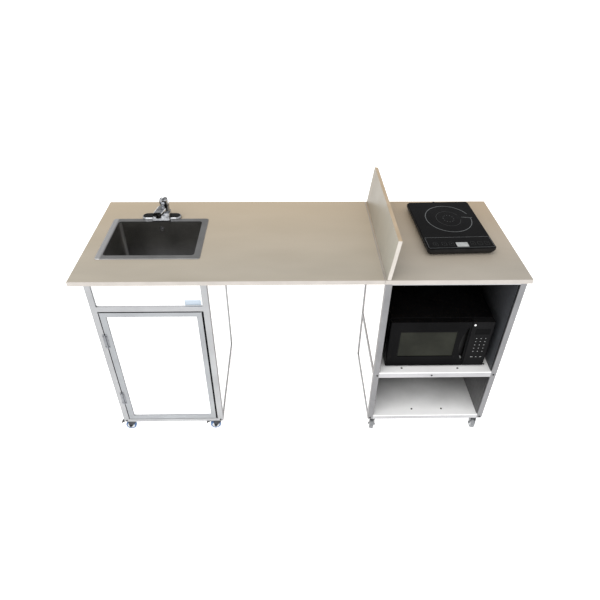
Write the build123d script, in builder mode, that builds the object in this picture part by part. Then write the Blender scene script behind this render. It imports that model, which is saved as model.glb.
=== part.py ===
"""Portable handwash sink station: two wheeled aluminium bases under one long worktop.

Millimetres, +Z up, -Y is the user's side, +X is the user's right. The origin is on the
floor, at the centre of the station's outline.
"""

import os

from build123d import *

os.makedirs("parts", exist_ok=True)

# Worktop
TOP_LENGTH = 1829.0
TOP_DEPTH = 660.0
TOP_HEIGHT = 930.0
TOP_THICK = 19.0
BAND = 1.0
SEAM_X = 326.0
SEAM_GAP = 1.6
TOP_LEFT = -TOP_LENGTH / 2
TOP_RIGHT = TOP_LENGTH / 2
TOP_FRONT = -TOP_DEPTH / 2
TOP_BACK = TOP_DEPTH / 2
TOP_UNDER = TOP_HEIGHT - TOP_THICK

# Bases: square aluminium tube frames on casters
TUBE = 25.0
WALL = 1.6
BASE_FRONT = -322.0
BASE_BOTTOM = 80.0
RAIL_LOW = 18.0
SHEET = 3.0
INSET = 5.0
SINK_X = (-857.0, -377.0)
SINK_BACK = BASE_FRONT + 555.0
OPEN_X = (333.0, 899.0)
OPEN_BACK = BASE_FRONT + 465.0
HEADER_Z = (774.0, 799.0)
MID_Z = (372.0, 397.0)
TOP_BAR = 10.0
SHELF_THICK = 6.0
FLOOR_TOP = BASE_BOTTOM + RAIL_LOW + SHELF_THICK
MID_TOP = MID_Z[1] + SHELF_THICK
FASCIA_BACK = 8.0
FASCIA_THICK = 12.0
LINER_SET_BACK = 9.0
FIT_GAP = 0.5

# Domed screw heads
SCREW_R = 4.4
SCREW_HEAD = 2.0
SCREW_KEY = 1.7

# Cabinet door
DOOR_TUBE = 25.0
DOOR_GAP = 4.0
DOOR_LATCH_GAP = 5.0
DOOR_X = (SINK_X[0] + TUBE + DOOR_GAP, SINK_X[1] - TUBE - DOOR_LATCH_GAP)
DOOR_Z = (BASE_BOTTOM + RAIL_LOW + 2.5, HEADER_Z[0] - 3.0)
DOOR_PANEL_INSET = 6.0
DOOR_PIN = (SINK_X[0] + TUBE + DOOR_GAP / 2, BASE_FRONT - 3.4)
DOOR_HINGE_Z = (250.0, 612.0)
DOOR_HINGE_LENGTH = 76.0
DOOR_LEAF_REACH = 10.0

# Hinges: pin in a three-part barrel
PIN_R = 1.5
PIN_FIT = 0.05
BARREL_R = 3.1
LEAF = 1.5

# Splash screen, hinged along its right foot
SCREEN_X = 334.0
SCREEN_THICK = 15.0
SCREEN_HEIGHT = 180.0
SCREEN_LEAN = 7.1
SCREEN_PIN = (SCREEN_X + SCREEN_THICK + 3.4, TOP_HEIGHT + 3.4)
SCREEN_HINGE_Y = (-210.0, 210.0)
SCREEN_HINGE_LENGTH = 60.0

# Drop-in basin
BASIN_X = (-852.0, -419.0)
BASIN_Y = (-174.0, 161.0)
BASIN_MID = ((BASIN_X[0] + BASIN_X[1]) / 2, (BASIN_Y[0] + BASIN_Y[1]) / 2)
RIM = 27.0
RIM_HIGH = 3.0
BOWL_DEPTH = 207.0
BOWL_WALL = 1.5
BOWL_CORNER = 14.0
BOWL_SIZE = (BASIN_X[1] - BASIN_X[0] - 2 * RIM, BASIN_Y[1] - BASIN_Y[0] - 2 * RIM)
CUT_MARGIN = 6.0
BOWL_FLOOR = TOP_HEIGHT + RIM_HIGH - BOWL_DEPTH
DRAIN_XY = (BASIN_MID[0], BASIN_MID[1])
DRAIN_HOLE_R = 44.0

# Tap
TAP_X = BASIN_MID[0]
TAP_Y = 172.0
TAP_AXIS_X = TAP_X + 20.0
TAP_PLATE = (178.0, 50.0, 11.0)
TAP_BODY_TOP = TOP_HEIGHT + 72.0
TAP_REACH = 76.0
TAP_PIVOT_Z = TAP_BODY_TOP + 14.0

# Casters
WHEEL_R = 25.0
WHEEL_WIDTH = 20.0
CASTER_TRAIL = 14.0
CASTER_INSET = 30.0
CASTER_Z = BASE_BOTTOM
PLATE_THICK = 2.5
CHEEK = 2.5
AXLE_R = 3.0

# Appliances
OVEN_SIZE = (455.0, 330.0, 262.0)
OVEN_X = 387.0
OVEN_FRONT = BASE_FRONT + 38.0
OVEN_FOOT = 8.0
OVEN_DOOR = 32.0
OVEN_DOOR_GAP = 1.0
DOOR_EDGE_R = 5.0
OVEN_PANEL_W = 98.0
GRIP_SIZE = (28.0, 206.0, 20.0)
CAVITY = (310.0, 268.0)
HOB_SIZE = (293.0, 410.0, 26.0)
HOB_CENTRE = (664.0, 47.0)
HOB_TURN = 2.0
HOB_FOOT = 8.0
HOB_GLASS = 4.0
HOB_CORNER = 10.0
HOB_TAPER = (8.0, 14.0)


def save(part, name):
    """Label a finished piece and write it as one STEP file."""
    part.label = name
    export_step(part, f"parts/{name}.step")


def block(low, high, mode=Mode.ADD):
    """A box between two corners, added to or cut from the open part."""
    size = [b - a for a, b in zip(low, high)]
    centre = [(a + b) / 2 for a, b in zip(low, high)]
    with Locations(tuple(centre)):
        Box(*size, mode=mode)


def tube(low, high, axis):
    """A square tube between two corners, hollow along one axis, as a separate solid."""
    bore = [b - a - 2 * WALL for a, b in zip(low, high)]
    bore[axis] = high[axis] - low[axis] + 2
    centre = [(a + b) / 2 for a, b in zip(low, high)]
    with BuildPart() as member:
        block(low, high)
        with Locations(tuple(centre)):
            Box(*bore, mode=Mode.SUBTRACT)
    return member.part


def tie(*solids):
    """Separate solids kept as one named group."""
    return Compound(children=list(solids))


def base_frame(x, back, front_top, mids):
    """Posts, low rails, top bars and any middle rails of one base."""
    x0, x1 = x
    y0, y1 = BASE_FRONT, back
    tubes = []
    for px in (x0, x1 - TUBE):
        for py in (y0, y1 - TUBE):
            tubes.append(tube((px, py, BASE_BOTTOM), (px + TUBE, py + TUBE, TOP_UNDER), 2))
    levels = [(BASE_BOTTOM, BASE_BOTTOM + RAIL_LOW), (TOP_UNDER - TOP_BAR, TOP_UNDER)]
    levels += mids
    for z0, z1 in levels:
        for px in (x0, x1 - TUBE):
            tubes.append(tube((px, y0 + TUBE, z0), (px + TUBE, y1 - TUBE, z1), 1))
        for py in (y0, y1 - TUBE):
            if py == y0 and z1 == TOP_UNDER and not front_top:
                continue
            tubes.append(tube((x0 + TUBE, py, z0), (x1 - TUBE, py + TUBE, z1), 0))
    return tubes


def flat(low, high):
    """A plain sheet as a separate solid."""
    with BuildPart() as sheet:
        block(low, high)
    return sheet.part


def hose(points, radii, outer, inner):
    """A hose along straight runs joined by tangent arcs."""
    with BuildPart() as line:
        with BuildLine() as path:
            FilletPolyline(*points, radius=radii)
        start = path.line @ 0
        with BuildSketch(Plane(origin=start, z_dir=path.line % 0)):
            Circle(outer)
            Circle(inner, mode=Mode.SUBTRACT)
        sweep()
    return line.part


# --- Worktop -------------------------------------------------------------------------

board_y = (TOP_FRONT + BAND, TOP_BACK - BAND)
left_x = (TOP_LEFT + BAND, SEAM_X - SEAM_GAP / 2 - BAND)
right_x = (SEAM_X + SEAM_GAP / 2 + BAND, TOP_RIGHT - BAND)

with BuildPart() as worktop_left:
    block((left_x[0], board_y[0], TOP_UNDER), (left_x[1], board_y[1], TOP_HEIGHT))
    with BuildSketch(Plane.XY.offset(TOP_UNDER)):
        with Locations(BASIN_MID):
            RectangleRounded(
                BOWL_SIZE[0] + 2 * CUT_MARGIN, BOWL_SIZE[1] + 2 * CUT_MARGIN, BOWL_CORNER
            )
        with Locations((TAP_X - 51, TAP_Y), (TAP_X + 51, TAP_Y), (TAP_X, TAP_Y)):
            Circle(16)
    extrude(amount=TOP_THICK, mode=Mode.SUBTRACT)
save(worktop_left.part, "worktop_left")

with BuildPart() as worktop_right:
    block((right_x[0], board_y[0], TOP_UNDER), (right_x[1], board_y[1], TOP_HEIGHT))
save(worktop_right.part, "worktop_right")

bands = []
for bx in (left_x, right_x):
    with BuildPart() as band:
        block(
            (bx[0] - BAND, board_y[0] - BAND, TOP_UNDER),
            (bx[1] + BAND, board_y[1] + BAND, TOP_HEIGHT),
        )
        with Locations(((bx[0] + bx[1]) / 2, 0, TOP_HEIGHT)):
            Box(
                bx[1] - bx[0], board_y[1] - board_y[0], 3 * TOP_THICK, mode=Mode.SUBTRACT
            )
    bands.append(band.part.solid())
save(tie(*bands), "worktop_edge_band")

# --- Frames --------------------------------------------------------------------------

sink_frame = base_frame(SINK_X, SINK_BACK, False, [])
sink_frame.append(
    tube(
        (SINK_X[0] + TUBE, BASE_FRONT, HEADER_Z[0]),
        (SINK_X[1] - TUBE, BASE_FRONT + TUBE, HEADER_Z[1]),
        0,
    )
)
save(tie(*sink_frame), "sink_base_frame")
save(tie(*base_frame(OPEN_X, OPEN_BACK, True, [MID_Z])), "open_base_frame")

# --- Sheets of the sink base ---------------------------------------------------------

post_in = (SINK_X[0] + TUBE, SINK_X[1] - TUBE)
side_y = (BASE_FRONT + TUBE, SINK_BACK - TUBE)
side_z = (BASE_BOTTOM + RAIL_LOW, TOP_UNDER - TOP_BAR)
sink_sheets = [
    flat(
        (post_in[0], BASE_FRONT + FASCIA_BACK, HEADER_Z[1]),
        (post_in[1], BASE_FRONT + FASCIA_BACK + FASCIA_THICK, TOP_UNDER),
    ),
    flat(
        (SINK_X[0] + INSET, side_y[0], side_z[0]),
        (SINK_X[0] + INSET + SHEET, side_y[1], side_z[1]),
    ),
    flat(
        (SINK_X[1] - INSET - SHEET, side_y[0], side_z[0]),
        (SINK_X[1] - INSET, side_y[1], side_z[1]),
    ),
    flat(
        (post_in[0], SINK_BACK - INSET - SHEET, side_z[0]),
        (post_in[1], SINK_BACK - INSET, side_z[1]),
    ),
]
save(tie(*sink_sheets), "sink_base_panels")

with BuildPart() as sink_base_floor:
    block(
        (post_in[0] + FIT_GAP, BASE_FRONT + TUBE + SHEET, FLOOR_TOP - SHELF_THICK),
        (post_in[1] - FIT_GAP, SINK_BACK - INSET - SHEET - FIT_GAP, FLOOR_TOP),
    )
save(sink_base_floor.part, "sink_base_floor")

# --- Sheets and shelves of the open base ---------------------------------------------

open_in = (OPEN_X[0] + TUBE, OPEN_X[1] - TUBE)
open_side_y = (BASE_FRONT + TUBE, OPEN_BACK - TUBE)
open_levels = [(BASE_BOTTOM + RAIL_LOW, MID_Z[0]), (MID_Z[1], TOP_UNDER - TOP_BAR)]
outer_sheets = []
for z0, z1 in open_levels:
    outer_sheets.append(
        flat(
            (OPEN_X[0] + INSET, open_side_y[0], z0),
            (OPEN_X[0] + INSET + SHEET, open_side_y[1], z1),
        )
    )
    outer_sheets.append(
        flat(
            (OPEN_X[1] - INSET - SHEET, open_side_y[0], z0),
            (OPEN_X[1] - INSET, open_side_y[1], z1),
        )
    )
    outer_sheets.append(
        flat(
            (open_in[0], OPEN_BACK - INSET - SHEET, z0),
            (open_in[1], OPEN_BACK - INSET, z1),
        )
    )
save(tie(*outer_sheets), "open_base_panels")


def liners(z0, z1):
    """Two side sheets and a back sheet inside the posts, between two heights."""
    y0 = BASE_FRONT + LINER_SET_BACK
    y1 = OPEN_BACK - TUBE - SHEET
    return tie(
        flat((open_in[0], y0, z0), (open_in[0] + SHEET, y1, z1)),
        flat((open_in[1] - SHEET, y0, z0), (open_in[1], y1, z1)),
        flat((open_in[0], y1, z0), (open_in[1], y1 + SHEET, z1)),
    )


def shelf(name, top):
    """A shelf sheet on the rails, flush with the front of the frame."""
    with BuildPart() as board:
        block(
            (open_in[0], BASE_FRONT + 1, top - SHELF_THICK),
            (open_in[1], OPEN_BACK - TUBE - FIT_GAP, top),
        )
    save(board.part, name)


shelf("bottom_shelf", FLOOR_TOP)
shelf("mid_shelf", MID_TOP)
save(liners(MID_TOP, TOP_UNDER - TOP_BAR), "upper_liners")
save(liners(FLOOR_TOP, MID_Z[0]), "lower_liners")

# --- Screws --------------------------------------------------------------------------


def dome(origin, direction):
    """A low domed screw head standing on a surface."""
    with BuildPart() as head:
        with BuildSketch(Plane(origin=origin, z_dir=direction)):
            Circle(SCREW_R)
        extrude(amount=SCREW_HEAD)
        rim_edges = head.edges().filter_by(GeomType.CIRCLE)
        far = rim_edges.sort_by(lambda e: (e.center() - Vector(*origin)).length)[-1]
        fillet(far, 1.0)
        with BuildSketch(Plane(origin=origin, z_dir=direction).offset(SCREW_HEAD)):
            RegularPolygon(SCREW_KEY, 6)
        extrude(amount=-SCREW_HEAD / 2, mode=Mode.SUBTRACT)
    return head.part


front = (0, -1, 0)
up = (0, 0, 1)
mid_z = (MID_Z[0] + MID_Z[1]) / 2
low_z = BASE_BOTTOM + RAIL_LOW / 2
screw_spots = [
    ((OPEN_X[0] + 18, BASE_FRONT, mid_z), front),
    (((OPEN_X[0] + OPEN_X[1]) / 2 - 15, BASE_FRONT, mid_z), front),
    ((OPEN_X[1] - 12, BASE_FRONT, mid_z), front),
    ((OPEN_X[0] + 12, BASE_FRONT, low_z), front),
    ((OPEN_X[1] - 12, BASE_FRONT, low_z), front),
    ((SINK_X[0] + 12, BASE_FRONT, low_z), front),
    ((SINK_X[1] - 12, BASE_FRONT, low_z), front),
    ((465.0, BASE_FRONT + 30, MID_TOP), up),
    ((723.0, BASE_FRONT + 26, MID_TOP), up),
    ((852.0, BASE_FRONT + 52, MID_TOP), up),
    ((555.0, BASE_FRONT + 40, FLOOR_TOP), up),
    ((703.0, BASE_FRONT + 40, FLOOR_TOP), up),
]
save(tie(*[dome(spot, way) for spot, way in screw_spots]), "frame_screws")

# --- Cabinet door --------------------------------------------------------------------

dx0, dx1 = DOOR_X
dz0, dz1 = DOOR_Z
dy0, dy1 = BASE_FRONT, BASE_FRONT + TUBE
door_tubes = [
    tube((dx0, dy0, dz0), (dx0 + DOOR_TUBE, dy1, dz1), 2),
    tube((dx1 - DOOR_TUBE, dy0, dz0), (dx1, dy1, dz1), 2),
    tube((dx0 + DOOR_TUBE, dy0, dz0), (dx1 - DOOR_TUBE, dy1, dz0 + DOOR_TUBE), 0),
    tube((dx0 + DOOR_TUBE, dy0, dz1 - DOOR_TUBE), (dx1 - DOOR_TUBE, dy1, dz1), 0),
]
save(tie(*door_tubes), "door_frame")

with BuildPart() as door_panel:
    block(
        (dx0 + DOOR_TUBE, dy0 + DOOR_PANEL_INSET, dz0 + DOOR_TUBE),
        (dx1 - DOOR_TUBE, dy0 + DOOR_PANEL_INSET + SHEET, dz1 - DOOR_TUBE),
    )
save(door_panel.part, "door_panel")


def hinge_half(plane, length, leaf_low, leaf_high, knuckles, pin):
    """Half a butt hinge around the plane's Z axis, with its leaf and its knuckles.

    leaf_low and leaf_high are the leaf's corners across the pin, in the plane.
    """
    with BuildPart(plane) as half:
        with BuildSketch(plane.offset(-length / 2)):
            with Locations(
                ((leaf_low[0] + leaf_high[0]) / 2, (leaf_low[1] + leaf_high[1]) / 2)
            ):
                Rectangle(leaf_high[0] - leaf_low[0], leaf_high[1] - leaf_low[1])
        extrude(amount=length)
        third = length / 3
        gap = 0.4
        for index in range(3):
            low = -length / 2 + index * third
            if index in knuckles:
                with BuildSketch(plane.offset(low)):
                    Circle(BARREL_R)
                extrude(amount=third)
        for index in range(3):
            low = -length / 2 + index * third
            if index not in knuckles:
                with BuildSketch(plane.offset(low - gap)):
                    Circle(BARREL_R + gap)
                extrude(amount=third + 2 * gap, mode=Mode.SUBTRACT)
        if pin:
            with BuildSketch(plane.offset(-length / 2)):
                Circle(PIN_R)
            extrude(amount=length)
        else:
            with BuildSketch(plane.offset(-length / 2)):
                Circle(PIN_R + PIN_FIT)
            extrude(amount=length, mode=Mode.SUBTRACT)
    return half.part


door_fixed = []
door_moving = []
for hinge_z in DOOR_HINGE_Z:
    pin_plane = Plane(origin=(DOOR_PIN[0], DOOR_PIN[1], hinge_z), x_dir=(1, 0, 0))
    # The leaves lie on the front faces of the post and of the door's stile.
    face = BASE_FRONT - DOOR_PIN[1]
    left_leaf = ((-DOOR_LEAF_REACH, face - LEAF), (-1.0, face))
    right_leaf = ((1.0, face - LEAF), (DOOR_LEAF_REACH, face))
    door_fixed.append(hinge_half(pin_plane, DOOR_HINGE_LENGTH, *left_leaf, (0, 2), True))
    door_moving.append(hinge_half(pin_plane, DOOR_HINGE_LENGTH, *right_leaf, (1,), False))
save(tie(*door_fixed), "door_hinge_bases")
save(tie(*door_moving), "door_hinge_leaves")

CATCH = (DOOR_LATCH_GAP - 0.8, 20.0, 26.0)
catches = []
for z0 in (dz1 - CATCH[2] - 1, dz0 + 4):
    x1 = SINK_X[1] - TUBE
    catches.append(
        flat(
            (x1 - CATCH[0], BASE_FRONT + 1, z0),
            (x1, BASE_FRONT + 1 + CATCH[1], z0 + CATCH[2]),
        )
    )
save(tie(*catches), "door_catches")

# --- Splash screen -------------------------------------------------------------------

# Everything on the screen is made upright about its pin and leaned with this location.
lean = Location((SCREEN_PIN[0], 0, SCREEN_PIN[1]), (0, SCREEN_LEAN, 0))
foot_x = SCREEN_X - SCREEN_PIN[0]
foot_z = TOP_HEIGHT + 0.3 - SCREEN_PIN[1]

with BuildPart() as splash_screen:
    block(
        (foot_x, TOP_FRONT, foot_z),
        (foot_x + SCREEN_THICK, TOP_BACK, foot_z + SCREEN_HEIGHT),
    )
    fillet(splash_screen.edges().filter_by(Axis.X).group_by(Axis.Z)[-1], 6.0)
save(splash_screen.part.moved(lean), "splash_screen")

screen_fixed = []
screen_moving = []
for hinge_y in SCREEN_HINGE_Y:
    # The pin runs along Y; the plane's X axis is +X and its Y axis is +Z.
    pin_plane = Plane(
        origin=(SCREEN_PIN[0], hinge_y, SCREEN_PIN[1]), x_dir=(1, 0, 0), z_dir=(0, -1, 0)
    )
    low = TOP_HEIGHT - SCREEN_PIN[1]
    screen_fixed.append(
        hinge_half(
            pin_plane, SCREEN_HINGE_LENGTH, (1.0, low), (22.0, low + LEAF), (0, 2), True
        )
    )
    flat_plane = Plane(origin=(0, hinge_y, 0), x_dir=(1, 0, 0), z_dir=(0, -1, 0))
    side = foot_x + SCREEN_THICK
    moving = hinge_half(
        flat_plane, SCREEN_HINGE_LENGTH, (side, 1.0), (side + LEAF, 24.0), (1,), False
    )
    screen_moving.append(moving.moved(lean))
save(tie(*screen_fixed), "splash_hinge_bases")
save(tie(*screen_moving), "splash_hinge_leaves")

# --- Basin ---------------------------------------------------------------------------

basin_size = (BASIN_X[1] - BASIN_X[0], BASIN_Y[1] - BASIN_Y[0])
OVERFLOW_Z = TOP_HEIGHT - 34.0
OVERFLOW_R = 9.0
bowl_back = BASIN_Y[1] - RIM

with BuildPart() as sink_basin:
    with BuildSketch(Plane.XY.offset(TOP_HEIGHT)):
        with Locations(BASIN_MID):
            RectangleRounded(basin_size[0], basin_size[1], 12)
    extrude(amount=RIM_HIGH)
    fillet(sink_basin.faces().sort_by(Axis.Z)[-1].edges(), 2.2)
    with BuildSketch(Plane.XY.offset(TOP_HEIGHT)):
        with Locations(BASIN_MID):
            RectangleRounded(
                BOWL_SIZE[0] + 2 * BOWL_WALL,
                BOWL_SIZE[1] + 2 * BOWL_WALL,
                BOWL_CORNER + BOWL_WALL,
            )
    extrude(amount=-(BOWL_DEPTH - RIM_HIGH + BOWL_WALL))
    under = sink_basin.faces().sort_by(Axis.Z)[0]
    fillet(under.edges(), BOWL_CORNER + BOWL_WALL - 0.5)
    with BuildPart(mode=Mode.PRIVATE) as hollow:
        with BuildSketch(Plane.XY.offset(TOP_HEIGHT + RIM_HIGH + 5)):
            with Locations(BASIN_MID):
                RectangleRounded(BOWL_SIZE[0], BOWL_SIZE[1], BOWL_CORNER)
        extrude(amount=-(BOWL_DEPTH + 5))
        fillet(hollow.faces().sort_by(Axis.Z)[0].edges(), BOWL_CORNER - 0.5)
    add(hollow.part, mode=Mode.SUBTRACT)
    with Locations((DRAIN_XY[0], DRAIN_XY[1], BOWL_FLOOR)):
        Cylinder(DRAIN_HOLE_R, 20, mode=Mode.SUBTRACT)
    with Locations(Location((TAP_X, bowl_back, OVERFLOW_Z), (90, 0, 0))):
        Cylinder(OVERFLOW_R, 20, mode=Mode.SUBTRACT)
save(sink_basin.part, "sink_basin")

# --- Drain ---------------------------------------------------------------------------

FLANGE_R = 55.0
CUP_R = 41.0
CUP_DEEP = 42.0
TAIL_R = 19.0
TAIL_LENGTH = 70.0
cup_bottom = BOWL_FLOOR - CUP_DEEP
tail_bottom = cup_bottom - TAIL_LENGTH

with BuildPart() as strainer_cup:
    with BuildSketch(Plane.XZ.offset(-DRAIN_XY[1])):
        with BuildLine():
            Polyline(
                (DRAIN_XY[0] + 14, cup_bottom - 8),
                (DRAIN_XY[0] + 14, cup_bottom + 3),
                (DRAIN_XY[0] + CUP_R - 8, cup_bottom + 3),
                (DRAIN_XY[0] + CUP_R - 2.5, cup_bottom + 9),
                (DRAIN_XY[0] + CUP_R - 2.5, BOWL_FLOOR + 1),
                (DRAIN_XY[0] + FLANGE_R - 2, BOWL_FLOOR + 2.2),
                (DRAIN_XY[0] + FLANGE_R, BOWL_FLOOR),
                (DRAIN_XY[0] + CUP_R + 0.5, BOWL_FLOOR),
                (DRAIN_XY[0] + CUP_R + 0.5, cup_bottom + 8),
                (DRAIN_XY[0] + CUP_R - 6, cup_bottom),
                (DRAIN_XY[0] + 17, cup_bottom),
                (DRAIN_XY[0] + 17, cup_bottom - 8),
                close=True,
            )
        make_face()
    revolve(axis=Axis((DRAIN_XY[0], DRAIN_XY[1], 0), (0, 0, 1)))

with BuildPart() as locknut:
    with BuildSketch(Plane.XY.offset(BOWL_FLOOR - BOWL_WALL - 10)):
        with Locations(DRAIN_XY):
            RegularPolygon(FLANGE_R + 2, 8)
            Circle(CUP_R + 0.7, mode=Mode.SUBTRACT)
    extrude(amount=10)

with BuildPart() as tailpiece:
    with BuildSketch(Plane.XY.offset(tail_bottom)):
        with Locations(DRAIN_XY):
            Circle(TAIL_R)
            Circle(TAIL_R - 1.8, mode=Mode.SUBTRACT)
    extrude(amount=cup_bottom - tail_bottom)
    with BuildSketch(Plane.XY.offset(cup_bottom - 16)):
        with Locations(DRAIN_XY):
            Circle(TAIL_R + 5)
            Circle(TAIL_R, mode=Mode.SUBTRACT)
    extrude(amount=15)

overflow_y = bowl_back + BOWL_WALL
with BuildPart() as overflow_elbow:
    with BuildSketch(Plane.XZ.offset(-overflow_y)):
        with Locations((TAP_X, OVERFLOW_Z)):
            Circle(OVERFLOW_R + 6)
            Circle(OVERFLOW_R, mode=Mode.SUBTRACT)
    extrude(amount=-14)
    with BuildSketch(Plane.XZ.offset(-(overflow_y + 14))):
        with Locations((TAP_X, OVERFLOW_Z)):
            Circle(OVERFLOW_R + 6)
    extrude(amount=-3)

BASKET_R = CUP_R - 3.5
BASKET_LIP = 3.5
BASKET_TOP = BOWL_FLOOR + 2.9
BASKET_DEEP = 32.0
BASKET_SKIN = 1.2
basket_low = BASKET_TOP - BASKET_DEEP
basket_wall = [
    (0, basket_low),
    (BASKET_R - 6, basket_low),
    (BASKET_R, BASKET_TOP - BASKET_SKIN),
    (BASKET_R + BASKET_LIP, BASKET_TOP - BASKET_SKIN),
    (BASKET_R + BASKET_LIP, BASKET_TOP),
    (BASKET_R - BASKET_SKIN, BASKET_TOP),
    (BASKET_R - 6 - BASKET_SKIN, basket_low + BASKET_SKIN),
    (3, basket_low + BASKET_SKIN),
    (3, BASKET_TOP - 8),
    (7, BASKET_TOP - 5),
    (7, BASKET_TOP),
    (4, BASKET_TOP + 3),
    (0, BASKET_TOP + 3),
]
with BuildPart() as strainer_basket:
    with BuildSketch(Plane.XZ.offset(-DRAIN_XY[1])):
        with BuildLine():
            Polyline(*[(DRAIN_XY[0] + r, z) for r, z in basket_wall], close=True)
        make_face()
    revolve(axis=Axis((DRAIN_XY[0], DRAIN_XY[1], 0), (0, 0, 1)))
    for ring_r, count in ((10, 8), (18, 12), (25, 18)):
        with Locations((DRAIN_XY[0], DRAIN_XY[1], basket_low)):
            with PolarLocations(ring_r, count):
                Cylinder(2.0, 10, mode=Mode.SUBTRACT)
save(strainer_basket.part, "strainer_basket")
save(
    tie(strainer_cup.part, locknut.part, tailpiece.part, overflow_elbow.part),
    "drain_fittings",
)

# --- Tap -----------------------------------------------------------------------------

plate_z = TOP_HEIGHT + RIM_HIGH + FIT_GAP
SPOUT_Z = TOP_HEIGHT + 52.0
tip_y = TAP_Y - TAP_REACH

with BuildPart() as faucet_body:
    with BuildSketch(Plane.XY.offset(plate_z)):
        with Locations((TAP_X, TAP_Y)):
            SlotOverall(TAP_PLATE[0], TAP_PLATE[1])
    extrude(amount=TAP_PLATE[2])
    fillet(faucet_body.faces().sort_by(Axis.Z)[-1].edges(), 7)
    # Centre hump, wide at its foot and leaning to the right, towards the column.
    with BuildSketch(Plane.XY.offset(plate_z + 4)):
        with Locations((TAP_X, TAP_Y - 8)):
            RectangleRounded(88, 60, 12)
    with BuildSketch(Plane.XY.offset(plate_z + 34)):
        with Locations((TAP_X + 12, TAP_Y - 4)):
            RectangleRounded(62, 46, 12)
    loft()
    with BuildSketch(Plane.XY.offset(plate_z + 30)):
        with Locations((TAP_AXIS_X - 3, TAP_Y)):
            Circle(23)
    with BuildSketch(Plane.XY.offset(TAP_BODY_TOP)):
        with Locations((TAP_AXIS_X, TAP_Y)):
            Circle(21)
    loft()
    # Spout towards the user, a little higher at its tip than at its root.
    with BuildSketch(Plane.XZ.offset(-(TAP_Y - 4))):
        with Locations((TAP_X + 10, SPOUT_Z - 4)):
            RectangleRounded(44, 32, 10)
    with BuildSketch(Plane.XZ.offset(-tip_y)):
        with Locations((TAP_X, SPOUT_Z + 6)):
            RectangleRounded(38, 20, 8)
    loft()
    with Locations((TAP_X, tip_y + 17, SPOUT_Z - 8)):
        Cylinder(13, 16)
    with Locations((TAP_X, tip_y + 17, SPOUT_Z - 16)):
        Cylinder(9, 12, mode=Mode.SUBTRACT)
save(faucet_body.part, "faucet_body")

shanks = []
for sx in (TAP_X - 51, TAP_X + 51):
    with BuildPart() as shank:
        with Locations((sx, TAP_Y, (plate_z + TOP_UNDER - 46) / 2)):
            Cylinder(10, plate_z - TOP_UNDER + 46)
            Cylinder(6, plate_z - TOP_UNDER + 48, mode=Mode.SUBTRACT)
    with BuildPart() as nut:
        with BuildSketch(Plane.XY.offset(TOP_UNDER - 10)):
            with Locations((sx, TAP_Y)):
                RegularPolygon(17, 6)
                Circle(10, mode=Mode.SUBTRACT)
        extrude(amount=10)
    shanks += [shank.part, nut.part]
with BuildPart() as gasket:
    with BuildSketch(Plane.XY.offset(TOP_HEIGHT)):
        with Locations((TAP_X, TAP_Y)):
            SlotOverall(TAP_PLATE[0] - 4, TAP_PLATE[1] - 4)
        with Locations((TAP_X - 51, TAP_Y), (TAP_X + 51, TAP_Y)):
            Circle(10, mode=Mode.SUBTRACT)
    extrude(amount=plate_z - TOP_HEIGHT)
    # Cut back behind the basin's rim, which the plate reaches over.
    block(
        (TAP_X - TAP_PLATE[0], TAP_Y - TAP_PLATE[1], TOP_HEIGHT - 1),
        (TAP_X + TAP_PLATE[0], BASIN_Y[1] + FIT_GAP, plate_z + 1),
        mode=Mode.SUBTRACT,
    )
save(tie(*shanks, gasket.part), "faucet_shanks")

HUB_GAP = 0.4
with BuildPart() as faucet_hub:
    with BuildSketch(Plane.XY.offset(TAP_BODY_TOP + HUB_GAP)):
        with Locations((TAP_AXIS_X, TAP_Y)):
            Circle(20.5)
    extrude(amount=6)
    # Two ears hold the lever's cross pin.
    for side in (-1, 1):
        with Locations((TAP_AXIS_X + side * 12, TAP_Y, TAP_PIVOT_Z - 3)):
            Box(5, 18, 16)
    with Locations(Location((TAP_AXIS_X, TAP_Y, TAP_PIVOT_Z), (0, 90, 0))):
        Cylinder(2.5, 26)
save(faucet_hub.part, "faucet_hub")

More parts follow.
